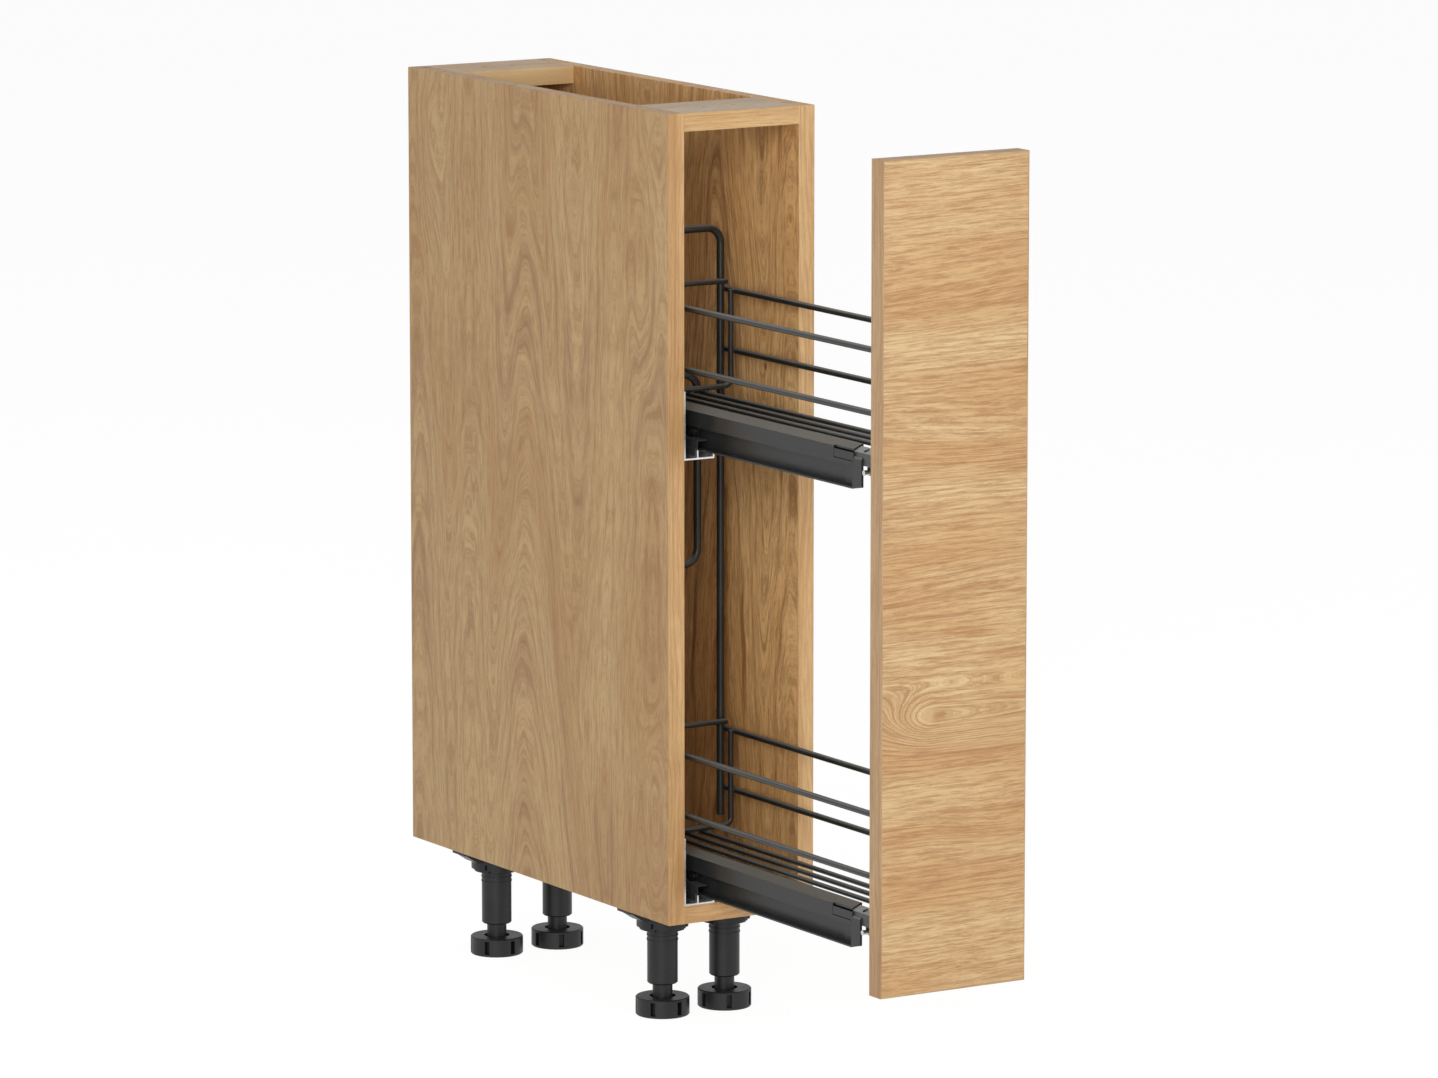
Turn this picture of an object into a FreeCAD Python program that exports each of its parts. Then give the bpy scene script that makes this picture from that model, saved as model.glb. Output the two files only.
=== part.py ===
"""Pull-out kitchen cabinet: a narrow base unit on four screw feet, with its pull-out drawn open.

The frame: +X to the right, +Y to the back, +Z up, the floor at Z = 0, and the origin under the
middle of the open cabinet. All lengths are millimetres.
"""
import FreeCAD, Part
import math
import os

import Sketcher
from FreeCAD import Placement, Rotation, Vector

# Driving dimensions: one group of named values for each sub-assembly
SIZES = {
    # carcass
    "cabinet_width": 150.0,
    "cabinet_height": 720.0,
    "cabinet_depth": 462.0,
    "panel_thickness": 16.0,
    "edging_thickness": 1.0,
    "front_rail_depth": 78.0,
    "rear_rail_depth": 71.0,
    "back_thickness": 3.0,
    "back_inset": 13.0,
    "groove_depth": 8.0,
    "groove_play": 0.5,
    # joints of the carcass
    "dowel_radius": 4.0,
    "dowel_length": 30.0,
    "dowel_depth_in_side": 11.0,
    "cam_bolt_radius": 3.5,
    "cam_reach": 24.0,
    "cam_radius": 7.5,
    "cam_depth": 12.5,
    "cam_slot_width": 2.0,
    "cam_slot_depth": 3.0,
    "bottom_cam_inset": 140.0,
    "bottom_dowel_inset": 170.0,
    "rail_dowel_offset": 22.0,
    "worktop_hole_radius": 2.5,
    "worktop_hole_spacing": 30.0,
    "pilot_radius": 1.5,
    "pilot_depth": 8.0,
    "pilot_inset": 52.0,
    "pilot_upper_height": 478.0,
    "pilot_lower_height": 92.0,
    # front
    "front_side_gap": 2.0,
    "front_height": 714.0,
    "front_thickness": 18.0,
    "opening": 325.0,
    "bumper_radius": 4.5,
    "bumper_thickness": 1.8,
    "bumper_inset": 40.0,
    # legs
    "leg_height": 100.0,
    "front_leg_inset": 82.0,
    "rear_leg_inset": 82.0,
    "sleeve_radius": 13.75,
    "sleeve_foot_gap": 28.8,
    "sleeve_top_gap": 4.0,
    "sleeve_roof": 4.0,
    "sleeve_chamfer": 1.0,
    "ring_height": 1.0,
    "ring_rise": 0.5,
    "ring_drop": 27.5,
    "ring_pitch": 4.4,
    "stem_radius": 9.0,
    "stem_play": 0.05,
    "stem_engagement": 50.0,
    "disc_radius": 24.25,
    "disc_height": 16.8,
    "disc_chamfer": 0.9,
    "disc_floor": 4.0,
    "disc_well_radius": 11.8,
    "notch_width": 4.6,
    "notch_depth": 6.5,
    "notch_margin": 2.3,
    "socket_arm_margin": 2.0,
    "socket_arm_half_width": 11.0,
    "socket_arm_tip": 3.0,
    "socket_arm_root": 11.5,
    "socket_arm_flat": 2.0,
    "socket_arm_rise_end": 15.0,
    "socket_radius": 23.3,
    "socket_rim_height": 18.9,
    "socket_step_radius": 20.7,
    "socket_step_height": 21.5,
    "socket_height": 23.4,
    "socket_groove_width": 2.4,
    "socket_groove_depth": 2.6,
    "socket_play": 0.05,
    "leg_screw_radius": 1.75,
    "leg_screw_circle_radius": 18.2,
    "leg_screw_head_radius": 3.2,
    "leg_screw_head_height": 2.2,
    "leg_screw_recess": 11.0,
    "leg_screw_grip": 12.0,
    # runners, measured from the left panel's inner face and from each bracket's base
    "level_spacing": 398.5,
    "runner_setback": 0.3,
    "bracket_length": 438.0,
    "bracket_height": 61.0,
    "bracket_width": 31.0,
    "bracket_sheet": 1.5,
    "bracket_lip": 3.5,
    "bracket_leg_place": 13.25,
    "bracket_leg_height": 8.3,
    "bracket_screw_height": 40.0,
    "bracket_screw_inset": 36.0,
    "screw_radius": 2.5,
    "screw_depth": 11.0,
    "screw_head_radius": 5.0,
    "screw_head_height": 2.2,
    # middle rails and the glides that hold them
    "rail_length": 275.0,
    "rail_setback": 0.5,
    "rail_sheet": 1.25,
    "rail_play": 0.4,
    "rail_foot_width": 6.3,
    "rail_foot_rise": 0.8,
    "rail_top": 17.0,
    "rail_reach": 23.5,
    "glide_play": 0.3,
    "glide_length": 30.0,
    "glide_height": 9.0,
    "front_glide_place": 172.0,
    "rear_glide_place": 238.0,
    # roller plates
    "plate_inset": 14.0,
    "plate_length": 83.0,
    "plate_sheet": 1.8,
    "plate_margin": 1.5,
    "roller_play": 0.3,
    "roller_width": 4.6,
    "roller_inset": 6.0,
    "axle_radius": 1.5,
    "axle_play": 0.05,
    "axle_head_radius": 2.2,
    "axle_head_length": 0.9,
    # moving beams
    "beam_left": 17.2,
    "beam_width": 11.4,
    "beam_wall": 1.5,
    "beam_low": 7.5,
    "beam_shelf": 27.2,
    "beam_shoulder": 41.0,
    "beam_flat": 1.6,
    "beam_front_gap": 78.0,
    "beam_length": 345.0,
    # end caps of the beams
    "cap_window_length": 29.5,
    "cap_window_low": 31.0,
    "cap_window_rise": 0.8,
    "cap_slot": 3.0,
    "cap_groove": 0.7,
    "cap_front": 14.5,
    "cap_nose_low": 11.4,
    "cap_nose_high": 36.0,
    "cap_chamfer": 2.0,
    "cap_web_length": 25.0,
    "cap_play": 0.1,
    "cap_bridge": 1.8,
    # front brackets
    "tongue_length": 32.0,
    "tongue_play": 0.3,
    "tongue_step": 2.5,
    "tongue_high": 36.5,
    "foot_plate": 2.0,
    "foot_plate_width": 20.0,
    "foot_plate_low": 16.0,
    "foot_plate_high": 58.0,
    "front_screw_radius": 2.0,
    "front_screw_depth": 13.0,
    "front_screw_head_radius": 3.8,
    "front_screw_head_height": 2.0,
    "front_screw_margin": 6.0,
    "neck_hole_radius": 2.5,
    "neck_hole_place": 64.0,
    "lug_thickness": 2.0,
    "lug_width": 10.0,
    "lug_drop": 8.5,
    "lug_place": 24.0,
    "adjuster_place": 60.0,
    "adjuster_radius": 2.2,
    "adjuster_length": 12.5,
    "adjuster_drop": 5.5,
    # wire baskets, measured from the outer face of the panel on their own side
    "basket_left": 24.0,
    "basket_right_gap": 27.5,
    "rail_radius": 2.75,
    "rail_high": 133.0,
    "rail_low": 79.0,
    "floor_wire_radius": 2.25,
    "floor_wire_pitch": 16.35,
    "floor_wire_gap": 11.8,
    "floor_wire_height": 43.2,
    "hoop_radius": 2.5,
    "hoop_bend": 7.0,
    "hoop_rise": 1.5,
    "rear_hoop_inset": 87.0,
    "front_hoop_gap": 28.0,
    "wire_overhang": 8.0,
    "rail_overhang": 17.0,
    "cross_wire_inset": 0.7,
    "cross_wire_gap": 2.6,
    # rear frame
    "frame_radius": 3.5,
    "frame_bend": 14.0,
    "frame_inset": 103.0,
    "frame_left": 52.0,
    "frame_top": 188.5,
    "frame_left_end": 20.0,
    "frame_right_end": 55.0,
    "stay_top": 58.5,
    "stay_bottom": 112.5,
    "frame_clip_length": 28.0,
    "frame_clip_low": 22.0,
    "frame_clip_high": 38.0,
    "frame_clip_wall": 2.0,
    "frame_clip_play": 0.05,
    # spare length of a cutting tool past the face that it opens
    "overrun": 2.0,
}

FLOOR_WIRES = 3
BRACKET_SCREWS = 4
RIM_NOTCHES = 6
LEG_SHARE = 65 / 150
STAY_SHARE = 0.6226
LEFT_FOOT_TURN = 38.0
RIGHT_FOOT_TURN = 9.0
GROOVE_TURNS = (36.0, 126.0)

DOC = FreeCAD.newDocument("PullOutCabinet")
SHEET = DOC.addObject("Spreadsheet::Sheet", "Sizes")
SUBPARTS = []


class Length:
    """A length in mm together with the expression that ties it to the sheet."""

    def __init__(self, text, value):
        self.text = text
        self.value = float(value)

    def __add__(self, other):
        other = as_length(other)
        return Length(f"({self.text} + {other.text})", self.value + other.value)

    def __sub__(self, other):
        other = as_length(other)
        return Length(f"({self.text} - {other.text})", self.value - other.value)

    def __mul__(self, factor):
        return Length(f"{self.text} * {factor}", self.value * factor)

    def __truediv__(self, factor):
        return Length(f"{self.text} / {factor}", self.value / factor)

    def __neg__(self):
        return Length(f"(0 - {self.text})", -self.value)


def as_length(value):
    """Takes zero or a Length, and gives a Length."""
    return value if isinstance(value, Length) else Length("0", value)


class Sizes:
    """Writes the sizes into the sheet and hands each one out as a Length."""

    def __init__(self, table):
        self.table = table
        for row, (name, value) in enumerate(table.items(), start=1):
            SHEET.set(f"A{row}", str(value))
            SHEET.setAlias(f"A{row}", name)

    def __getattr__(self, name):
        return Length(f"Sizes.{name}", self.table[name])


S = Sizes(SIZES)
DOC.recompute()

ZERO = Length("0", 0)
AXES = {
    "X": Rotation(Vector(0, 1, 0), 90),
    "Y": Rotation(Vector(1, 0, 0), -90),
    "Z": Rotation(),
}


def bind(thing, prop, length):
    """Ties a property to the sheet."""
    thing.setExpression(prop, as_length(length).text)


def place(thing, point, rotation=None):
    """Puts an object at a point whose coordinates stay tied to the sheet."""
    point = [as_length(value) for value in point]
    start = Vector(*[value.value for value in point])
    thing.Placement = Placement(start, rotation or Rotation())
    for axis, value in zip("xyz", point):
        bind(thing, f"Placement.Base.{axis}", value)
    return thing


def block(name, corner, size):
    """A box from its low corner and its sizes along X, Y and Z."""
    box = DOC.addObject("Part::Box", name)
    for prop, length in zip(("Length", "Width", "Height"), size):
        bind(box, prop, length)
    return place(box, corner)


def rod(name, start, axis, radius, length):
    """A straight round bar from its start point along X, Y or Z."""
    bar = DOC.addObject("Part::Cylinder", name)
    bind(bar, "Radius", radius)
    bind(bar, "Height", length)
    return place(bar, start, AXES[axis])


def group(name, pieces):
    """Several separate solids kept as one object."""
    bundle = DOC.addObject("Part::Compound", name)
    bundle.Links = pieces
    return bundle


def fuse(name, pieces):
    """Several touching solids made one."""
    union = DOC.addObject("Part::MultiFuse", name)
    union.Shapes = pieces
    union.Refine = True
    return union


def cut(name, base, tools):
    """A base with one or more tools taken out of it."""
    result = DOC.addObject("Part::Cut", name)
    result.Base = base
    result.Tool = tools[0] if len(tools) == 1 else group(f"{name}_tools", tools)
    return result


def keep(label, thing):
    """Names a finished sub-part."""
    thing.Label = label
    SUBPARTS.append(thing)
    return thing


def origin_plane(body, role):
    """The body's own origin plane of a given role."""
    return next(plane for plane in body.Origin.OriginFeatures if plane.Role == role)


def new_sketch(body, name, plane, lift=ZERO):
    """A sketch on one of the body's origin planes, raised along its normal."""
    sketch = body.newObject("Sketcher::SketchObject", name)
    sketch.AttachmentSupport = [(origin_plane(body, plane), "")]
    sketch.MapMode = "FlatFace"
    bind(sketch, "AttachmentOffset.Base.z", lift)
    return sketch


def pin_point(sketch, name, geometry, end, point):
    """Ties one point of a sketch to the sheet through its two distances from the origin."""
    for kind, axis, value in zip(("DistanceX", "DistanceY"), "xy", point):
        index = sketch.addConstraint(Sketcher.Constraint(kind, -1, 1, geometry, end, value.value))
        sketch.renameConstraint(index, f"{name}_{axis}")
        sketch.setExpression(f"Constraints.{name}_{axis}", value.text)


def draw_outline(sketch, points, name="p"):
    """A closed outline of straight lines through points given as Lengths."""
    points = [tuple(as_length(value) for value in point) for point in points]
    ends = [Vector(x.value, y.value, 0) for x, y in points]
    lines = [sketch.addGeometry(Part.LineSegment(a, b)) for a, b in zip(ends, ends[1:] + ends[:1])]
    for line, follower in zip(lines, lines[1:] + lines[:1]):
        sketch.addConstraint(Sketcher.Constraint("Coincident", line, 2, follower, 1))
    for number, (line, point) in enumerate(zip(lines, points)):
        pin_point(sketch, f"{name}{number}", line, 1, point)


def draw_circle(sketch, centre, radius, name="ring"):
    """A circle whose centre and radius stay tied to the sheet."""
    centre = tuple(as_length(value) for value in centre)
    circle = Part.Circle(Vector(centre[0].value, centre[1].value, 0), Vector(0, 0, 1), radius.value)
    ring = sketch.addGeometry(circle)
    index = sketch.addConstraint(Sketcher.Constraint("Radius", ring, radius.value))
    sketch.renameConstraint(index, f"{name}_radius")
    sketch.setExpression(f"Constraints.{name}_radius", radius.text)
    pin_point(sketch, name, ring, 3, centre)


def extrusion(name, plane, outlines, length, corner, backwards=False):
    """A body padded from outlines on one of its origin planes."""
    body = DOC.addObject("PartDesign::Body", name)
    sketch = new_sketch(body, f"{name}_outline", plane)
    for number, points in enumerate(outlines):
        draw_outline(sketch, points, f"loop{number}_")
    pad = body.newObject("PartDesign::Pad", f"{name}_pad")
    pad.Profile = sketch
    pad.Reversed = backwards
    bind(pad, "Length", length)
    return place(body, corner)


def turned(name, points, corner, rotation=None):
    """A body turned about its own upright axis from an outline of radius and height."""
    body = DOC.addObject("PartDesign::Body", name)
    sketch = new_sketch(body, f"{name}_outline", "XZ_Plane")
    draw_outline(sketch, points)
    turn = body.newObject("PartDesign::Revolution", f"{name}_turn")
    turn.Profile = sketch
    turn.ReferenceAxis = (sketch, ["V_Axis"])
    turn.Angle = 360
    return place(body, corner, rotation)


def bent_wire(name, corners, radius, bend, depth):
    """A round wire along upright and level runs, with each corner rounded by one bend radius."""
    corners = [tuple(as_length(value) for value in corner) for corner in corners]
    body = DOC.addObject("PartDesign::Body", name)
    path = new_sketch(body, f"{name}_path", "XZ_Plane")
    points = [Vector(x.value, y.value, 0) for x, y in corners]
    steps = [(b - a).normalize() for a, b in zip(points, points[1:])]
    lines = []
    for number, step in enumerate(steps):
        trim = step * bend.value
        begin = points[number] + (trim if number else Vector())
        finish = points[number + 1] - (trim if number + 1 < len(steps) else Vector())
        lines.append(path.addGeometry(Part.LineSegment(begin, finish)))
        upright = abs(step.y) > abs(step.x)
        path.addConstraint(Sketcher.Constraint("Vertical" if upright else "Horizontal", lines[-1]))
        kind, value = ("DistanceX", corners[number][0]) if upright else ("DistanceY", corners[number][1])
        tie(path, f"run{number}", kind, lines[-1], 1, value)
    first_kind = "DistanceY" if abs(steps[0].y) > abs(steps[0].x) else "DistanceX"
    last_kind = "DistanceY" if abs(steps[-1].y) > abs(steps[-1].x) else "DistanceX"
    tie(path, "start", first_kind, lines[0], 1, corners[0][first_kind == "DistanceY"])
    tie(path, "finish", last_kind, lines[-1], 2, corners[-1][last_kind == "DistanceY"])
    for number, (step, after) in enumerate(zip(steps, steps[1:])):
        left_turn = step.x * after.y - step.y * after.x > 0
        centre = points[number + 1] + (after - step) * bend.value
        entry = points[number + 1] - step * bend.value - centre
        leave = points[number + 1] + after * bend.value - centre
        begin, finish = (entry, leave) if left_turn else (leave, entry)
        circle = Part.Circle(centre, Vector(0, 0, 1), bend.value)
        low, high = (math.atan2(side.y, side.x) for side in (begin, finish))
        arc = path.addGeometry(Part.ArcOfCircle(circle, low, high + (math.tau if high < low else 0)))
        near, far = (1, 2) if left_turn else (2, 1)
        path.addConstraint(Sketcher.Constraint("Tangent", lines[number], 2, arc, near))
        path.addConstraint(Sketcher.Constraint("Tangent", arc, far, lines[number + 1], 1))
        index = path.addConstraint(Sketcher.Constraint("Radius", arc, bend.value))
        path.renameConstraint(index, f"bend{number}")
        path.setExpression(f"Constraints.bend{number}", bend.text)
    start_x, start_z = corners[0]
    if first_kind == "DistanceY":
        section = new_sketch(body, f"{name}_section", "XY_Plane", start_z)
        draw_circle(section, (start_x, ZERO), radius)
    else:
        section = new_sketch(body, f"{name}_section", "YZ_Plane", start_x)
        draw_circle(section, (ZERO, start_z), radius)
    DOC.recompute()
    pipe = body.newObject("PartDesign::AdditivePipe", f"{name}_pipe")
    pipe.Profile = section
    pipe.Spine = (path, [])
    return place(body, (ZERO, depth, ZERO))


def tie(sketch, name, kind, geometry, end, value):
    """Ties one coordinate of a sketch point to the sheet."""
    index = sketch.addConstraint(Sketcher.Constraint(kind, -1, 1, geometry, end, value.value))
    sketch.renameConstraint(index, name)
    sketch.setExpression(f"Constraints.{name}", value.text)


# Main planes of the cabinet
LEFT = -S.cabinet_width / 2
RIGHT = S.cabinet_width / 2
INNER_LEFT = LEFT + S.panel_thickness
INNER_RIGHT = RIGHT - S.panel_thickness
INNER_WIDTH = S.cabinet_width - S.panel_thickness * 2
FRONT_PLANE = (S.opening + S.front_thickness - S.cabinet_depth) / 2
BACK_PLANE = FRONT_PLANE + S.cabinet_depth
BOTTOM = S.leg_height
TOP = S.leg_height + S.cabinet_height
PANEL_DEPTH = S.cabinet_depth - S.edging_thickness
PANEL_FRONT = FRONT_PLANE + S.edging_thickness
BACK_FACE = BACK_PLANE - S.back_inset - S.back_thickness
LOWER_LEVEL = BOTTOM + S.panel_thickness
LEVELS = {"upper": LOWER_LEVEL + S.level_spacing, "lower": LOWER_LEVEL}
FRONT_BACK = FRONT_PLANE - S.opening
FRONT_LEFT = LEFT + S.front_side_gap
FRONT_RAIL_MIDDLE = FRONT_PLANE + S.front_rail_depth / 2
REAR_RAIL_MIDDLE = BACK_PLANE - S.rear_rail_depth / 2


def carcass_joints():
    """Dowels, cam bolts and cams that hold the bottom and the two top rails between the sides."""
    low = BOTTOM + S.panel_thickness / 2
    high = TOP - S.panel_thickness / 2
    bottom_cams = [FRONT_PLANE + S.bottom_cam_inset, BACK_PLANE - S.bottom_cam_inset]
    bottom_dowels = [FRONT_PLANE + S.bottom_dowel_inset, BACK_PLANE - S.bottom_dowel_inset]
    rails = [FRONT_RAIL_MIDDLE, REAR_RAIL_MIDDLE]
    rail_dowels = [rail + S.rail_dowel_offset for rail in rails]
    rows = [(low, bottom_cams, bottom_dowels, BOTTOM), (high, rails, rail_dowels, TOP - S.panel_thickness)]
    dowels, bolts, cams = [], [], []
    for height, cam_places, dowel_places, underside in rows:
        for side, left in (("left", True), ("right", False)):
            tag = f"{side}_{'low' if height is low else 'high'}"
            for number, depth in enumerate(dowel_places):
                start = INNER_LEFT - S.dowel_depth_in_side
                if not left:
                    start = INNER_RIGHT + S.dowel_depth_in_side - S.dowel_length
                dowels.append(rod(f"dowel_{tag}_{number}", (start, depth, height), "X",
                                  S.dowel_radius, S.dowel_length))
            for number, depth in enumerate(cam_places):
                reach = S.dowel_depth_in_side + S.cam_reach
                start = INNER_LEFT - S.dowel_depth_in_side
                centre = INNER_LEFT + S.cam_reach
                if not left:
                    start = INNER_RIGHT - S.cam_reach
                    centre = start
                bolts.append(rod(f"cam_bolt_{tag}_{number}", (start, depth, height), "X",
                                 S.cam_bolt_radius, reach))
                disc = rod(f"cam_disc_{tag}_{number}", (centre, depth, underside), "Z",
                           S.cam_radius, S.cam_depth)
                corner = (centre - S.cam_radius, depth - S.cam_slot_width / 2, underside)
                slot = block(f"cam_slot_{tag}_{number}", corner,
                             (S.cam_radius * 2, S.cam_slot_width, S.cam_slot_depth))
                cams.append((disc, slot, bolts[-1]))
    return dowels, bolts, cams


def build_carcass():
    """Side panels, bottom, top rails, back, edging and the fittings that join them."""
    dowels, bolts, cams = carcass_joints()
    dowel_group = keep("carcass_dowels", group("carcass_dowels", dowels))
    bolt_group = keep("cam_bolts", group("cam_bolts", bolts))
    disc_blanks = group("cam_disc_blanks", [disc for disc, _, _ in cams])
    keep("cam_discs", group("cam_discs", [
        cut(f"{disc.Name}_cut", disc, [slot, bolt]) for disc, slot, bolt in cams]))

    groove_height = S.cabinet_height + S.overrun * 2
    groove_place = (BACK_FACE, BOTTOM - S.overrun)
    groove_size = (S.groove_depth + S.overrun, S.back_thickness, groove_height)
    left_groove = block("left_groove", (INNER_LEFT - S.groove_depth, *groove_place), groove_size)
    right_groove = block("right_groove", (INNER_RIGHT - S.overrun, *groove_place), groove_size)

    side_size = (S.panel_thickness, PANEL_DEPTH, S.cabinet_height)
    screws = runner_screws()
    left_blank = block("left_side_blank", (LEFT, PANEL_FRONT, BOTTOM), side_size)
    fixings = [dowel_group, bolt_group]
    keep("left_side_panel", cut("left_side_panel", left_blank, [*fixings, left_groove, screws]))
    pilots = [
        rod(f"pilot_{number}", (INNER_RIGHT - S.overrun, FRONT_PLANE + S.pilot_inset, BOTTOM + height),
            "X", S.pilot_radius, S.pilot_depth + S.overrun)
        for number, height in enumerate((S.pilot_upper_height, S.pilot_lower_height))]
    right_blank = block("right_side_blank", (INNER_RIGHT, PANEL_FRONT, BOTTOM), side_size)
    keep("right_side_panel", cut("right_side_panel", right_blank, [*fixings, right_groove, *pilots]))

    bottom_depth = BACK_FACE - PANEL_FRONT
    bottom_blank = block("bottom_blank", (INNER_LEFT, PANEL_FRONT, BOTTOM),
                         (INNER_WIDTH, bottom_depth, S.panel_thickness))
    fittings = [*fixings, disc_blanks]
    keep("bottom_panel", cut("bottom_panel", bottom_blank, [*fittings, leg_screws()]))

    rail_base = TOP - S.panel_thickness
    for name, front, depth, middle in (
            ("front_top_rail", PANEL_FRONT, S.front_rail_depth - S.edging_thickness, FRONT_RAIL_MIDDLE),
            ("rear_top_rail", BACK_PLANE - S.rear_rail_depth, S.rear_rail_depth, REAR_RAIL_MIDDLE)):
        blank = block(f"{name}_blank", (INNER_LEFT, front, rail_base),
                      (INNER_WIDTH, depth, S.panel_thickness))
        holes = [
            rod(f"{name}_hole_{side}", (S.worktop_hole_spacing * share, middle, rail_base - S.overrun),
                "Z", S.worktop_hole_radius, S.panel_thickness + S.overrun * 2)
            for side, share in (("left", -0.5), ("right", 0.5))]
        keep(name, cut(name, blank, [*fittings, *holes]))

    back_overlap = S.groove_depth - S.groove_play
    keep("back_panel", block(
        "back_panel", (INNER_LEFT - back_overlap, BACK_FACE, BOTTOM),
        (INNER_WIDTH + back_overlap * 2, S.back_thickness, S.cabinet_height - S.panel_thickness)))

    strip = S.edging_thickness
    upright = (S.panel_thickness, strip, S.cabinet_height)
    keep("carcass_edging", group("carcass_edging", [
        block("left_edging", (LEFT, FRONT_PLANE, BOTTOM), upright),
        block("right_edging", (INNER_RIGHT, FRONT_PLANE, BOTTOM), upright),
        block("bottom_edging", (INNER_LEFT, FRONT_PLANE, BOTTOM), (INNER_WIDTH, strip, S.panel_thickness)),
        block("rail_edging", (INNER_LEFT, FRONT_PLANE, rail_base), (INNER_WIDTH, strip, S.panel_thickness)),
    ]))


BRACKET_FRONT = FRONT_PLANE + S.runner_setback
SCREW_PITCH = (S.bracket_length - S.bracket_screw_inset * 2) / (BRACKET_SCREWS - 1)


def runner_screws():
    """The round-headed screws that hold both runner brackets to the left panel."""
    screws = []
    shank = S.screw_depth + S.bracket_sheet
    for level, base in LEVELS.items():
        for number in range(BRACKET_SCREWS):
            depth = BRACKET_FRONT + S.bracket_screw_inset + SCREW_PITCH * number
            height = base + S.bracket_screw_height
            start = INNER_LEFT - S.screw_depth
            screws.append(fuse(f"{level}_screw_{number}", [
                rod(f"{level}_shank_{number}", (start, depth, height), "X", S.screw_radius, shank),
                rod(f"{level}_head_{number}", (INNER_LEFT + S.bracket_sheet, depth, height),
                    "X", S.screw_head_radius, S.screw_head_height)]))
    return keep("runner_screws", group("runner_screws", screws))


def build_runner(level, base):
    """The fixed half of one runner: its bracket and the two glides that hold the middle rail."""
    sheet = S.bracket_sheet
    leg = S.bracket_leg_place
    profile = [
        (ZERO, ZERO), (S.bracket_width, ZERO), (S.bracket_width, sheet + S.bracket_lip),
        (S.bracket_width - sheet, sheet + S.bracket_lip), (S.bracket_width - sheet, sheet),
        (leg + sheet, sheet), (leg + sheet, S.bracket_leg_height), (leg, S.bracket_leg_height),
        (leg, sheet), (sheet, sheet), (sheet, S.bracket_height), (ZERO, S.bracket_height)]
    blank = extrusion(f"{level}_bracket_blank", "XZ_Plane", [profile], S.bracket_length,
                      (INNER_LEFT, BRACKET_FRONT, base), backwards=True)
    screws = DOC.getObject("runner_screws")
    keep(f"{level}_runner_bracket", cut(f"{level}_runner_bracket", blank, [screws]))

    play = S.glide_play
    foot_low = sheet + S.rail_foot_rise
    stem_left = leg - S.rail_play - S.rail_sheet
    slot_left = leg - S.rail_play - S.rail_foot_width - play
    glide = [
        (sheet, sheet), (stem_left - play, sheet), (stem_left - play, foot_low - play),
        (slot_left, foot_low - play), (slot_left, foot_low + S.rail_sheet + play),
        (stem_left - play, foot_low + S.rail_sheet + play), (stem_left - play, S.glide_height),
        (sheet, S.glide_height)]
    keep(f"{level}_rail_glides", group(f"{level}_rail_glides", [
        extrusion(f"{level}_{name}_glide", "XZ_Plane", [glide], S.glide_length,
                  (INNER_LEFT, BRACKET_FRONT + start, base), backwards=True)
        for name, start in (("front", S.front_glide_place), ("rear", S.rear_glide_place))]))


RAIL_FRONT = BRACKET_FRONT + S.rail_setback
LIP_TOP = S.beam_low + S.beam_wall
WING_LOW = S.rail_top - S.rail_sheet


def build_middle_rail(level, base):
    """The half-travel rail of one runner, with the plate that carries its two rollers."""
    sheet, leg = S.rail_sheet, S.bracket_leg_place
    low = S.bracket_sheet + S.rail_foot_rise
    stem_right = leg - S.rail_play
    step = S.bracket_leg_height + S.rail_play
    profile = [
        (stem_right - S.rail_foot_width, low), (stem_right, low), (stem_right, step),
        (leg + sheet, step), (leg + sheet, WING_LOW), (S.rail_reach, WING_LOW),
        (S.rail_reach, S.rail_top), (leg, S.rail_top), (leg, step + sheet),
        (stem_right - sheet, step + sheet), (stem_right - sheet, low + sheet),
        (stem_right - S.rail_foot_width, low + sheet)]
    keep(f"{level}_middle_rail", extrusion(
        f"{level}_middle_rail", "XZ_Plane", [profile], S.rail_length,
        (INNER_LEFT, RAIL_FRONT, base), backwards=True))

    plate_x = INNER_LEFT + S.rail_reach
    plate_front = RAIL_FRONT + S.plate_inset
    plate_low = LIP_TOP + S.plate_margin
    plate = block(f"{level}_plate_blank", (plate_x, plate_front, base + plate_low),
                  (S.plate_sheet, S.plate_length, S.beam_shelf - S.plate_margin - plate_low))
    roller_x = plate_x - S.roller_play - S.roller_width
    head_x = roller_x - S.roller_play - S.axle_head_length
    places = {
        "top": (plate_front + S.roller_inset, S.rail_top, S.beam_shelf),
        "bottom": (plate_front + S.plate_length - S.roller_inset, LIP_TOP, WING_LOW),
    }
    pieces = [plate]
    for name, (depth, floor, roof) in places.items():
        height = base + (floor + roof) / 2
        pieces += [
            rod(f"{level}_{name}_axle", (head_x, depth, height), "X", S.axle_radius, plate_x - head_x),
            rod(f"{level}_{name}_axle_head", (head_x, depth, height), "X",
                S.axle_head_radius, S.axle_head_length)]
        tyre = rod(f"{level}_{name}_roller_blank", (roller_x, depth, height), "X",
                   (roof - floor) / 2 - S.roller_play, S.roller_width)
        bore = rod(f"{level}_{name}_roller_bore", (roller_x - S.overrun, depth, height), "X",
                   S.axle_radius + S.axle_play, S.roller_width + S.overrun * 2)
        keep(f"{level}_{name}_roller", cut(f"{level}_{name}_roller", tyre, [bore]))
    keep(f"{level}_roller_plate", fuse(f"{level}_roller_plate", pieces))


BEAM_FRONT = FRONT_BACK + S.beam_front_gap
BEAM_RIGHT = S.beam_left + S.beam_width
BEAM_TOP = S.floor_wire_height + S.floor_wire_radius
INNER_SHOULDER = S.beam_shoulder - S.beam_wall * 0.6


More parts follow.
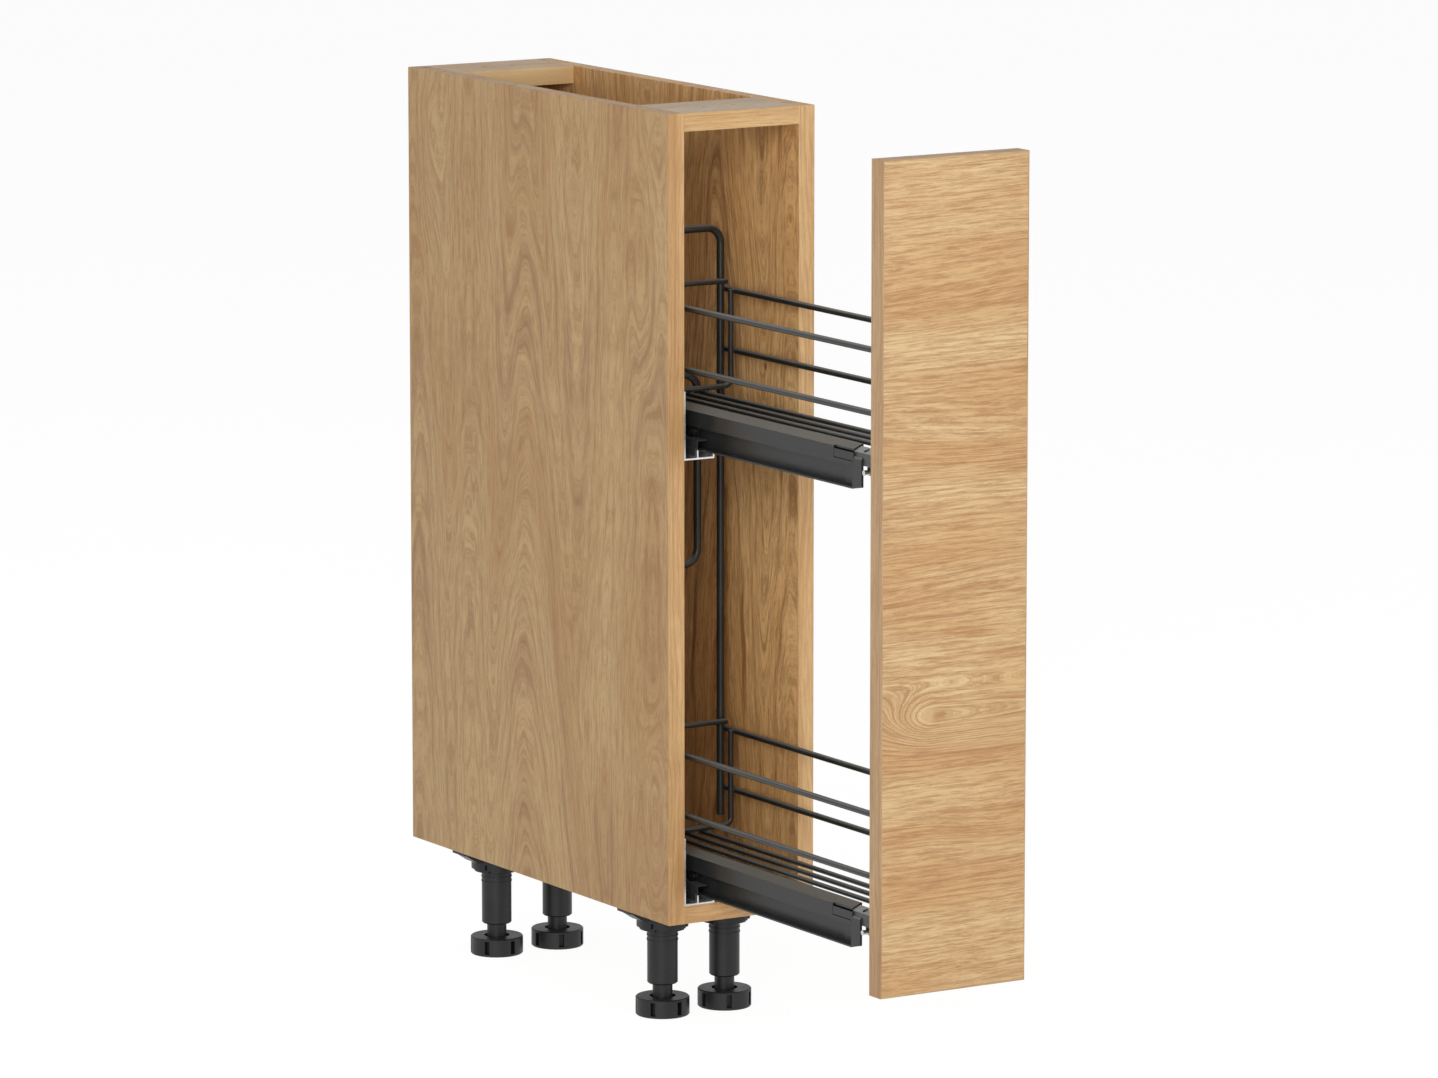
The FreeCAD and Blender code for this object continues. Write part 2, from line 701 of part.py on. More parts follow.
def build_beam(level, base):
    """The moving beam of one runner: a box over a channel that is open to the left."""
    left, wall = S.beam_left, S.beam_wall
    outer = [
        (left, S.beam_low), (BEAM_RIGHT, S.beam_low), (BEAM_RIGHT, BEAM_TOP),
        (BEAM_RIGHT - S.beam_flat, BEAM_TOP), (left, S.beam_shoulder), (left, S.beam_shelf),
        (BEAM_RIGHT - wall, S.beam_shelf), (BEAM_RIGHT - wall, LIP_TOP), (left, LIP_TOP)]
    inner = [
        (left + wall, S.beam_shelf + wall), (BEAM_RIGHT - wall, S.beam_shelf + wall),
        (BEAM_RIGHT - wall, BEAM_TOP - wall), (left + wall, INNER_SHOULDER)]
    blank = extrusion(f"{level}_beam_blank", "XZ_Plane", [outer, inner], S.beam_length,
                      (INNER_LEFT, BEAM_FRONT, base), backwards=True)
    window_top = S.beam_shoulder + S.cap_window_rise
    window = block(
        f"{level}_cap_window",
        (INNER_LEFT + left - S.overrun, BEAM_FRONT - S.overrun, base + S.cap_window_low),
        (S.overrun + wall, S.cap_window_length + S.overrun, window_top - S.cap_window_low))
    keep(f"{level}_beam", cut(f"{level}_beam", blank, [window]))


def build_end_cap(level, base):
    """The moulded cap at the nose of one beam: a snap tab, a side cheek and a web in the channel."""
    wall, play = S.beam_wall, S.cap_play
    front = BEAM_FRONT - S.cap_front
    tab_low = S.cap_window_low + S.cap_groove
    tab_high = S.beam_shoulder + S.cap_window_rise - S.cap_slot
    tab = block(f"{level}_cap_tab", (INNER_LEFT + S.beam_left, BEAM_FRONT - S.cap_bridge, base + tab_low),
                (wall, S.cap_window_length + S.cap_bridge - S.cap_groove, tab_high - tab_low))
    back = -play
    cheek = extrusion(f"{level}_cap_cheek", "YZ_Plane", [[
        (-S.cap_front, S.cap_nose_low), (back, S.beam_low), (back, tab_high),
        (-S.cap_bridge, tab_high), (-S.cap_bridge, S.cap_nose_high), (-S.cap_front, S.cap_nose_high)]],
        wall, (INNER_LEFT + S.beam_left, BEAM_FRONT, base))
    chamfer = extrusion(f"{level}_cap_chamfer", "XZ_Plane", [[
        (-S.overrun, S.cap_nose_high - S.cap_chamfer - S.overrun), (ZERO, S.cap_nose_high - S.cap_chamfer),
        (wall, S.cap_nose_high), (wall, S.cap_nose_high + S.overrun),
        (-S.overrun, S.cap_nose_high + S.overrun)]],
        S.cap_front - S.cap_bridge, (INNER_LEFT + S.beam_left, front, base), backwards=True)
    bridge_low = LIP_TOP + play
    bridge_high = S.beam_shelf - play
    web_x = BEAM_RIGHT - wall * 2 - play
    bridge = block(f"{level}_cap_bridge",
                   (INNER_LEFT + S.beam_left, BEAM_FRONT - S.cap_bridge, base + bridge_low),
                   (web_x + wall - S.beam_left, S.cap_bridge - play, bridge_high - bridge_low))
    web = block(f"{level}_cap_web", (INNER_LEFT + web_x, BEAM_FRONT - S.cap_bridge, base + bridge_low),
                (wall, S.cap_web_length, bridge_high - bridge_low))
    shaped = cut(f"{level}_cap_cheek_cut", cheek, [chamfer])
    keep(f"{level}_beam_end_cap", fuse(f"{level}_beam_end_cap", [tab, shaped, bridge, web]))


def build_front_bracket(level, base):
    """The bar that slides into the beam's nose, its foot plate on the front and its adjuster lug."""
    inside = S.beam_wall + S.tongue_play
    left = S.beam_left + inside
    right = BEAM_RIGHT - inside
    low = S.beam_shelf + inside
    bar = extrusion(f"{level}_bar", "XZ_Plane", [[
        (left, low), (right, low), (right, BEAM_TOP - inside), (left, INNER_SHOULDER - S.tongue_play)]],
        S.beam_front_gap, (INNER_LEFT, FRONT_BACK, base), backwards=True)
    tongue = block(f"{level}_tongue", (INNER_LEFT + left + S.tongue_step, BEAM_FRONT, base + low),
                   (right - left - S.tongue_step, S.tongue_length, S.tongue_high - low))
    plate = block(f"{level}_foot_plate", (INNER_LEFT + left, FRONT_BACK, base + S.foot_plate_low),
                  (S.foot_plate_width, S.foot_plate, S.foot_plate_high - S.foot_plate_low))
    lug_y = FRONT_BACK + S.adjuster_place
    lug = block(f"{level}_lug", (INNER_LEFT + S.lug_place, lug_y - S.lug_width / 2, base + low - S.lug_drop),
                (S.lug_thickness, S.lug_width, S.lug_drop + S.beam_wall))
    adjuster = rod(f"{level}_adjuster", (INNER_LEFT + S.beam_left, lug_y, base + low - S.adjuster_drop), "X",
                   S.adjuster_radius, S.adjuster_length)
    hole = rod(f"{level}_neck_hole",
               (INNER_LEFT + (left + right) / 2, FRONT_BACK + S.neck_hole_place, base + S.beam_shelf),
               "Z", S.neck_hole_radius, BEAM_TOP - S.beam_shelf)
    screws = front_screws(level, base, FRONT_BACK + S.foot_plate, INNER_LEFT + left + S.foot_plate_width)
    union = fuse(f"{level}_front_bracket_blank", [bar, tongue, plate, lug])
    keep(f"{level}_front_bracket", cut(f"{level}_front_bracket", union, [adjuster, hole, *screws]))
    return adjuster, screws


def front_screws(level, base, plate_back, plate_right):
    """The two screws that fix one front bracket to the front."""
    screws = []
    margin = S.front_screw_margin
    for number, height in enumerate((base + S.foot_plate_low + margin, base + S.foot_plate_high - margin)):
        centre = plate_right - margin
        depth = plate_back - S.foot_plate - S.front_screw_depth
        screws.append(fuse(f"{level}_front_screw_{number}", [
            rod(f"{level}_front_shank_{number}", (centre, depth, height), "Y",
                S.front_screw_radius, S.front_screw_depth + S.foot_plate),
            rod(f"{level}_front_head_{number}", (centre, plate_back, height), "Y",
                S.front_screw_head_radius, S.front_screw_head_height)]))
    return screws


def build_front(screws):
    """The front, its edging and the bumpers that meet the carcass when it is shut."""
    strip = S.edging_thickness
    y_front = FRONT_BACK - S.front_thickness
    inner_width = S.cabinet_width - (S.front_side_gap + strip) * 2
    blank = block("front_blank", (FRONT_LEFT + strip, y_front, BOTTOM + strip),
                  (inner_width, S.front_thickness, S.front_height - strip * 2))
    keep("front_panel", cut("front_panel", blank, [DOC.getObject("front_screws")]))
    upright = (strip, S.front_thickness, S.front_height)
    level = (inner_width, S.front_thickness, strip)
    keep("front_edging", group("front_edging", [
        block("front_edging_left", (FRONT_LEFT, y_front, BOTTOM), upright),
        block("front_edging_right", (-FRONT_LEFT - strip, y_front, BOTTOM), upright),
        block("front_edging_bottom", (FRONT_LEFT + strip, y_front, BOTTOM), level),
        block("front_edging_top", (FRONT_LEFT + strip, y_front, BOTTOM + S.front_height - strip), level)]))
    pad_x = (S.cabinet_width - S.panel_thickness) / 2
    heights = {"low": BOTTOM + S.bumper_inset, "high": BOTTOM + S.front_height - S.bumper_inset}
    keep("front_bumpers", group("front_bumpers", [
        rod(f"bumper_{side}_{row}", (centre, FRONT_BACK, height), "Y", S.bumper_radius, S.bumper_thickness)
        for side, centre in (("left", -pad_x), ("right", pad_x)) for row, height in heights.items()]))


RAIL_LEFT = LEFT + S.basket_left
RAIL_RIGHT = RIGHT - S.basket_right_gap
HOOP_LEFT = RAIL_LEFT + S.rail_radius + S.hoop_radius
HOOP_RIGHT = RAIL_RIGHT - S.rail_radius - S.hoop_radius
REAR_HOOP = FRONT_PLANE + S.rear_hoop_inset
FRONT_HOOP = FRONT_BACK + S.front_hoop_gap


def build_basket(level, base):
    """One wire basket: four side rails, three floor wires and a hoop at each end."""
    rail_start = FRONT_HOOP - S.wire_overhang
    rail_length = REAR_HOOP + S.rail_overhang - rail_start
    rails = []
    for side, x in (("left", RAIL_LEFT), ("right", RAIL_RIGHT)):
        for row, height in (("high", S.rail_high), ("low", S.rail_low)):
            rails.append(rod(f"{level}_{side}_{row}_rail", (x, rail_start, base + height), "Y",
                             S.rail_radius, rail_length))
    keep(f"{level}_basket_side_rails", group(f"{level}_basket_side_rails", rails))
    floor_length = REAR_HOOP + S.wire_overhang - rail_start
    first_wire = INNER_LEFT + BEAM_RIGHT + S.floor_wire_gap + S.floor_wire_radius
    wires = [
        rod(f"{level}_floor_wire_{number}",
            (first_wire + S.floor_wire_pitch * number, rail_start, base + S.floor_wire_height),
            "Y", S.floor_wire_radius, floor_length)
        for number in range(FLOOR_WIRES)]
    keep(f"{level}_basket_floor_wires", group(f"{level}_basket_floor_wires", wires))
    sill = base + S.floor_wire_height + S.floor_wire_radius + S.hoop_radius
    head = base + S.rail_high + S.hoop_rise
    corners = [(HOOP_LEFT, head), (HOOP_LEFT, sill), (HOOP_RIGHT, sill), (HOOP_RIGHT, head)]
    for end, depth in (("rear", REAR_HOOP), ("front", FRONT_HOOP)):
        keep(f"{level}_basket_{end}_hoop", bent_wire(
            f"{level}_basket_{end}_hoop", corners, S.hoop_radius, S.hoop_bend, depth))


def build_rear_frame():
    """The tall hoop that joins both baskets, the stay on it, the cross wires and the beam clips."""
    depth = FRONT_PLANE + S.frame_inset
    left = LEFT + S.frame_left
    right = RAIL_RIGHT - S.rail_radius - S.frame_radius
    upper, lower = LEVELS["upper"], LEVELS["lower"]
    head = upper + S.frame_top
    keep("rear_frame", bent_wire("rear_frame", [
        (left, lower + S.frame_left_end), (left, head), (right, head), (right, lower + S.frame_right_end)],
        S.frame_radius, S.frame_bend, depth))
    stay_start = left + S.frame_radius
    stay_right = left + (right - left) * STAY_SHARE
    keep("frame_stay", bent_wire("frame_stay", [
        (stay_start, upper + S.stay_top), (stay_right, upper + S.stay_top),
        (stay_right, upper - S.stay_bottom), (stay_start, upper - S.stay_bottom)],
        S.frame_radius, S.frame_bend, depth))
    cross_start = left - S.frame_radius + S.cross_wire_inset
    cross_length = right - left + (S.frame_radius - S.cross_wire_inset) * 2
    cross_height = S.rail_high + S.rail_radius + S.cross_wire_gap + S.hoop_radius
    keep("basket_cross_wires", group("basket_cross_wires", [
        rod(f"{level}_cross_wire", (cross_start, depth - S.frame_radius - S.hoop_radius, base + cross_height),
            "X", S.hoop_radius, cross_length)
        for level, base in LEVELS.items()]))
    beam_right = INNER_LEFT + BEAM_RIGHT
    clip_width = left + S.frame_radius + S.frame_clip_wall - beam_right
    clip_front = depth + S.frame_radius + S.frame_clip_wall - S.frame_clip_length
    clips = []
    for level, base in LEVELS.items():
        body = block(f"{level}_frame_clip_blank", (beam_right, clip_front, base + S.frame_clip_low),
                     (clip_width, S.frame_clip_length, S.frame_clip_high - S.frame_clip_low))
        hole = rod(f"{level}_frame_clip_hole", (left, depth, base + S.frame_clip_low - S.overrun), "Z",
                   S.frame_radius + S.frame_clip_play, S.frame_clip_high - S.frame_clip_low + S.overrun * 2)
        clips.append(cut(f"{level}_frame_clip", body, [hole]))
    keep("frame_clips", group("frame_clips", clips))


LEG_PLACES = {
    f"{row}_{side}": (S.cabinet_width * LEG_SHARE * share, depth)
    for row, depth in (("front", FRONT_PLANE + S.front_leg_inset), ("rear", BACK_PLANE - S.rear_leg_inset))
    for side, share in (("left", -0.5), ("right", 0.5))}
SCREW_OFFSET = S.leg_screw_circle_radius * math.sqrt(0.5)
CORNER_SIGNS = ((1, 1), (-1, 1), (-1, -1), (1, -1))


def leg_screws():
    """The screws that hold the four leg sockets up to the bottom panel."""
    screws = []
    head_base = BOTTOM - S.socket_height + S.leg_screw_recess
    shank_base = head_base + S.leg_screw_head_height
    shank_length = BOTTOM + S.leg_screw_grip - shank_base
    for name, (x, y) in LEG_PLACES.items():
        for number, (sign_x, sign_y) in enumerate(CORNER_SIGNS):
            centre = (x + SCREW_OFFSET * sign_x, y + SCREW_OFFSET * sign_y)
            screws.append(fuse(f"{name}_leg_screw_{number}", [
                rod(f"{name}_leg_screw_head_{number}", (*centre, head_base), "Z",
                    S.leg_screw_head_radius, S.leg_screw_head_height),
                rod(f"{name}_leg_screw_shank_{number}", (*centre, shank_base), "Z",
                    S.leg_screw_radius, shank_length)]))
    return keep("leg_screws", group("leg_screws", screws))


def build_socket(name, x, y):
    """The screwed-on socket of one leg: a stepped hub with four screw wells and a tapered arm."""
    half = S.socket_arm_half_width
    reach = S.cabinet_width * ((1 - LEG_SHARE) / 2) - S.socket_arm_margin
    side = 1 if x.value > 0 else -1
    hub = turned(f"{name}_socket_hub", [
        (ZERO, ZERO), (S.sleeve_radius, ZERO), (S.socket_step_radius, S.socket_height - S.socket_step_height),
        (S.socket_step_radius, S.socket_height - S.socket_rim_height),
        (S.socket_radius, S.socket_height - S.socket_rim_height), (S.socket_radius, S.socket_height),
        (ZERO, S.socket_height)], (x, y, BOTTOM - S.socket_height))
    outline = [(ZERO, ZERO), (ZERO, -S.socket_arm_root), (reach - S.socket_arm_rise_end, -S.socket_arm_root),
               (reach - S.socket_arm_flat, -S.socket_arm_tip), (reach, -S.socket_arm_tip), (reach, ZERO)]
    arm = extrusion(f"{name}_socket_arm", "XZ_Plane", [[(along * side, up) for along, up in outline]],
                    half * 2, (x, y - half, BOTTOM), backwards=True)
    base = BOTTOM - S.socket_height
    tools = []
    for number, (sign_x, sign_y) in enumerate(CORNER_SIGNS):
        hole = (x + SCREW_OFFSET * sign_x, y + SCREW_OFFSET * sign_y)
        tools.append(rod(f"{name}_screw_well_{number}", (*hole, base - S.overrun), "Z",
                         S.leg_screw_head_radius, S.leg_screw_recess + S.leg_screw_head_height + S.overrun))
        tools.append(rod(f"{name}_screw_hole_{number}", (*hole, base), "Z",
                         S.leg_screw_radius, S.socket_height + S.overrun))
    tools.append(rod(f"{name}_socket_bore", (x, y, base - S.overrun), "Z",
                     S.sleeve_radius + S.socket_play, S.socket_height + S.overrun - S.sleeve_top_gap))
    beside = S.socket_groove_width / 2
    outer = S.socket_radius + S.overrun
    inner = S.socket_radius - S.socket_groove_depth
    for tag, turn in zip("ab", GROOVE_TURNS):
        bar = extrusion(f"{name}_groove_{tag}", "XY_Plane", [
            [(-outer, -beside), (-inner, -beside), (-inner, beside), (-outer, beside)],
            [(inner, -beside), (outer, -beside), (outer, beside), (inner, beside)]],
            S.socket_height - S.socket_arm_root - S.overrun, (x, y, base))
        place(bar, (x, y, base), Rotation(Vector(0, 0, 1), turn))
        tools.append(bar)
    keep(f"{name}_leg_socket", cut(f"{name}_leg_socket", fuse(f"{name}_socket_blank", [hub, arm]), tools))


def build_sleeve(name, x, y):
    """The fixed sleeve of one leg, plugged into its socket."""
    height = S.leg_height - S.sleeve_foot_gap - S.sleeve_top_gap
    outer, bore = S.sleeve_radius, S.stem_radius + S.stem_play
    roof = height - S.sleeve_roof
    ring_low = S.leg_height - S.sleeve_foot_gap - S.ring_drop
    points = [(bore, ZERO), (outer - S.sleeve_chamfer, ZERO), (outer, S.sleeve_chamfer)]
    for start in (ring_low - S.ring_pitch, ring_low):
        points += [(outer, start), (outer + S.ring_rise, start),
                   (outer + S.ring_rise, start + S.ring_height), (outer, start + S.ring_height)]
    points += [(outer, height), (ZERO, height), (ZERO, roof), (bore, roof)]
    keep(f"{name}_leg_sleeve", turned(f"{name}_leg_sleeve", points, (x, y, S.sleeve_foot_gap)))


def build_foot(name, x, y, turn):
    """The screw foot of one leg: a stem in the sleeve over a notched disc on the floor."""
    top = S.sleeve_foot_gap + S.stem_engagement
    stem, bevel = S.stem_radius, S.sleeve_chamfer
    radius, height, chamfer = S.disc_radius, S.disc_height, S.disc_chamfer
    body = turned(f"{name}_foot", [
        (ZERO, ZERO), (radius - chamfer, ZERO), (radius, chamfer), (radius, height - chamfer),
        (radius - chamfer, height), (S.disc_well_radius, height), (S.disc_well_radius, S.disc_floor),
        (stem, S.disc_floor), (stem, top - bevel), (stem - bevel, top), (ZERO, top)],
        (x, y, ZERO), Rotation(Vector(0, 0, 1), turn))
    DOC.recompute()
    mouth = new_sketch(body, f"{name}_notch_outline", "XY_Plane", S.notch_margin)
    half = S.notch_width / 2
    near, far = radius - S.notch_depth, radius + S.overrun
    draw_outline(mouth, [(near, -half), (far, -half), (far, half), (near, half)])
    notch = body.newObject("PartDesign::Pocket", f"{name}_notch")
    notch.Profile = mouth
    notch.Reversed = True
    bind(notch, "Length", height - S.notch_margin * 2)
    DOC.recompute()
    around = body.newObject("PartDesign::PolarPattern", f"{name}_notches")
    around.Originals = [notch]
    axis = next(line for line in body.Origin.OriginFeatures if line.Role == "Z_Axis")
    around.Axis = (axis, [""])
    around.Angle = 360
    around.Occurrences = RIM_NOTCHES
    body.Tip = around
    keep(f"{name}_foot", body)


def build_all():
    """Builds every sub-part of the cabinet."""
    build_carcass()
    adjusters, screws = [], []
    for level, base in LEVELS.items():
        build_runner(level, base)
        build_middle_rail(level, base)
        build_beam(level, base)
        build_end_cap(level, base)
        adjuster, pair = build_front_bracket(level, base)
        adjusters.append(adjuster)
        screws += pair
        build_basket(level, base)
    keep("adjuster_screws", group("adjuster_screws", adjusters))
    keep("front_screws", group("front_screws", screws))
    build_front(screws)
    build_rear_frame()
    for name, (x, y) in LEG_PLACES.items():
        build_socket(name, x, y)
        build_sleeve(name, x, y)
        build_foot(name, x, y, LEFT_FOOT_TURN if name.endswith("left") else RIGHT_FOOT_TURN)
    DOC.recompute()


def check_all():
    """Stops if any object failed to compute or any sub-part isn't made of valid solids."""
    failed = [thing.Label for thing in DOC.Objects if {"Invalid", "Error"} & set(thing.State)]
    if failed:
        raise RuntimeError(f"objects failed: {failed}")
    for part in SUBPARTS:
        if part.Shape.isNull() or not part.Shape.isValid() or not part.Shape.Solids:
            raise RuntimeError(f"bad shape: {part.Label}")


def export_all():
    """Writes each sub-part to its own STEP file."""
    os.makedirs("parts", exist_ok=True)
    for part in SUBPARTS:
        part.Shape.exportStep(os.path.join("parts", f"{part.Label}.step"))
        print(f"{part.Label}: {len(part.Shape.Solids)} solids, {part.Shape.Volume:.0f} mm3")


build_all()
check_all()
export_all()
print(f"{len(SUBPARTS)} sub-parts")
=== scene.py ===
"""Looks of the pull-out kitchen cabinet: oak-look boards, coated wires, galvanised runners and black legs.

The solids keep their places and shapes. This file gives them their finishes, adds the small details that the
solids leave out, and sets up the floor, the lamps and the camera. Lengths are in metres.
"""

import logging
import math
from dataclasses import dataclass, field
from enum import Enum
from functools import cached_property
from typing import Optional, Sequence

import bpy
import numpy as np
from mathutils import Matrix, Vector

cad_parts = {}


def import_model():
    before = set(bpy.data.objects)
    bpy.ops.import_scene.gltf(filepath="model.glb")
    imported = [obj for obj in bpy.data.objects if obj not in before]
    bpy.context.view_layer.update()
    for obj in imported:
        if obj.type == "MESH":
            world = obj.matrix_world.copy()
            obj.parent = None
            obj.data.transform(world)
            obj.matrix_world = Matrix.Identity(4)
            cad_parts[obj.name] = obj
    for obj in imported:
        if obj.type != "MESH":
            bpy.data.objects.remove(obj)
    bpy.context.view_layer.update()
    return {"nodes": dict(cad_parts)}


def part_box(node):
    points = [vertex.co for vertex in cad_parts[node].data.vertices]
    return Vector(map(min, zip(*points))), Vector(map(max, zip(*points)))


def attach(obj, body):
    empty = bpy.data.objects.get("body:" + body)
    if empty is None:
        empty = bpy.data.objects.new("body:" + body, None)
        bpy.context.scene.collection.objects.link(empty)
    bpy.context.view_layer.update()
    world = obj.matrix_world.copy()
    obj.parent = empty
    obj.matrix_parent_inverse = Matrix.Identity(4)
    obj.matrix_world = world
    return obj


LOG = logging.getLogger("cabinet")
Colour = tuple[float, float, float, float]
Node = bpy.types.Node
Tree = bpy.types.NodeTree
Socket = bpy.types.NodeSocket
Sockets = bpy.types.bpy_prop_collection
Material = bpy.types.Material
WHITE: Colour = (1.0, 1.0, 1.0, 1.0)
MIDDLE = 0.5  # of a noise and of a ramp
EDGE_SKIN = 0.0005  # how far inside a board's face the look of its edging starts
LEVELS = ("upper", "lower")


def srgb(red: float, green: float, blue: float) -> Colour:
    """A display colour of 0 to 255 per channel as the linear colour that Blender works with.

    Args:
        red: the red channel.
        green: the green channel.
        blue: the blue channel.

    Returns:
        The linear colour, fully opaque.
    """
    linear = [(c / 255 / 12.92) if c / 255 <= 0.04045 else ((c / 255 + 0.055) / 1.055) ** 2.4
              for c in (red, green, blue)]
    return (linear[0], linear[1], linear[2], 1.0)


@dataclass(frozen=True)
class DrawnNoise:
    """A noise with its own number of cells to a metre along, across and through the grain.

    Where low and high are given, values from low to high are spread over 0 to 1.
    """

    cells: tuple[float, float, float]
    detail: float = 2.0
    roughness: float = 0.5
    distortion: float = 0.0
    low: Optional[float] = None
    high: float = 1.0


class Graph:
    """Adds nodes to one shader tree and joins their sockets."""

    # The Mix node keeps its colour sockets behind those for numbers and vectors.
    first_colour = 6
    second_colour = 7
    mixed_colour = 2

    def __init__(self, tree: Tree) -> None:
        """Works on the given tree."""
        self.tree = tree

    def add(self, kind: str, *values: object, **settings: object) -> Node:
        """One new node with its settings and its first inputs.

        Args:
            kind: the node's type name.
            values: what goes into its first inputs, as sockets or values.
            settings: the node's own properties.

        Returns:
            The node.
        """
        node = self.tree.nodes.new(kind)
        for key, value in settings.items():
            setattr(node, key, value)
        for socket, value in zip(node.inputs, values):
            self.feed(socket, value)
        return node

    def feed(self, socket: Socket, source: object) -> None:
        """Links a socket to another one, or sets its value.

        Args:
            socket: the socket that takes the value.
            source: an output socket, a number, a vector or a colour.
        """
        if isinstance(source, Socket):
            self.tree.links.new(source, socket)
        else:
            socket.default_value = source

    def math(self, operation: str, *values: object) -> Socket:
        """The result of a Math node's operation on numbers."""
        return self.add("ShaderNodeMath", *values, operation=operation).outputs[0]

    def vector(self, operation: str, *values: object) -> Socket:
        """The result of a Vector Math node's operation on vectors."""
        return self.add("ShaderNodeVectorMath", *values, operation=operation).outputs["Vector"]

    def scaled(self, vector: object, factor: object) -> Socket:
        """A vector times one number.

        Args:
            vector: the vector.
            factor: the number, or a socket that gives it.

        Returns:
            The output socket.
        """
        node = self.add("ShaderNodeVectorMath", vector, operation="SCALE")
        self.feed(node.inputs["Scale"], factor)
        return node.outputs["Vector"]

    def split(self, vector: Socket) -> Sequence[Socket]:
        """The three parts of a vector."""
        return self.add("ShaderNodeSeparateXYZ", vector).outputs

    def join(self, x: object, y: object, z: object) -> Socket:
        """A vector from three parts."""
        return self.add("ShaderNodeCombineXYZ", x, y, z).outputs[0]

    def blend(self, share: object, low: object, high: object) -> Socket:
        """Two colours mixed.

        Args:
            share: how much of the second one, a socket or a number.
            low: the first colour.
            high: the second colour.

        Returns:
            The colour socket.
        """
        node = self.add("ShaderNodeMix", share, data_type="RGBA")
        self.feed(node.inputs[self.first_colour], low)
        self.feed(node.inputs[self.second_colour], high)
        return node.outputs[self.mixed_colour]

    def spread(self, value: object, low: float, high: float) -> Socket:
        """A value from low to high spread over 0 to 1 with eased ends."""
        return self.add("ShaderNodeMapRange", value, low, high, interpolation_type="SMOOTHSTEP").outputs[0]

    def mean(self, first: object, second: object, share: float = 0.5) -> Socket:
        """The share of the first value plus the rest of the second."""
        return self.math("MULTIPLY_ADD", first, share, self.math("MULTIPLY", second, 1.0 - share))

    def moved(self, base: object, noise: object, reach: object) -> Socket:
        """A base value plus the reach times a noise that is taken about its middle."""
        return self.math("MULTIPLY_ADD", self.math("SUBTRACT", noise, MIDDLE), reach, base)

    def noise(self, vector: object, scale: float, detail: float = 2.0, roughness: float = 0.5,
              distortion: float = 0.0) -> Socket:
        """A noise value of about 0 to 1.

        Args:
            vector: where it is read.
            scale: how many cells a unit of the vector holds.
            detail: the number of finer layers.
            roughness: how strong these are.
            distortion: how far the cells are pulled about.

        Returns:
            The output socket.
        """
        node = self.add("ShaderNodeTexNoise", vector)
        for name, value in (("Scale", scale), ("Detail", detail), ("Roughness", roughness),
                            ("Distortion", distortion)):
            node.inputs[name].default_value = value
        return node.outputs[0]

    def drawn(self, vector: object, noise: DrawnNoise) -> Socket:
        """A noise that is drawn out along the grain, read at a place in metres."""
        value = self.noise(self.vector("MULTIPLY", vector, noise.cells), 1.0, noise.detail, noise.roughness,
                           noise.distortion)
        return value if noise.low is None else self.spread(value, noise.low, noise.high)

    def cells(self, vector: object, scale: float) -> Socket:
        """A pattern of cells, each with its own colour.

        Args:
            vector: where it is read.
            scale: how many cells a unit of the vector holds.

        Returns:
            The output socket.
        """
        node = self.add("ShaderNodeTexVoronoi", vector)
        node.inputs["Scale"].default_value = scale
        return node.outputs["Color"]

    def use(self, tree: Tree, values: dict[str, object]) -> Sockets:
        """A shared group in this tree, with its inputs filled.

        Args:
            tree: the group.
            values: what goes into each input, by the input's name.

        Returns:
            The group's outputs.
        """
        node = self.add("ShaderNodeGroup", node_tree=tree)
        for label, value in values.items():
            self.feed(node.inputs[label], value)
        return node.outputs

    def mix(self, share: object, first: Node, second: Node, sink: Socket) -> None:
        """Mixes two shaders into a socket.

        Args:
            share: how much of the second one shows.
            first: the first shader's node.
            second: the second shader's node.
            sink: the socket that takes the mix.
        """
        node = self.add("ShaderNodeMixShader", share, first.outputs[0], second.outputs[0])
        self.feed(sink, node.outputs[0])

    def curve(self, value: object, stops: Sequence[tuple[float, float]]) -> Socket:
        """A value put through straight pieces between stops.

        Args:
            value: the value, from 0 to 1.
            stops: pairs of place and result.

        Returns:
            The output socket.
        """
        node = self.add("ShaderNodeValToRGB", value)
        ramp = node.color_ramp
        while len(ramp.elements) < len(stops):
            ramp.elements.new(MIDDLE)
        for element, (place, result) in zip(ramp.elements, stops):
            element.position = place
            element.color = (result, result, result, 1.0)
        return node.outputs[0]


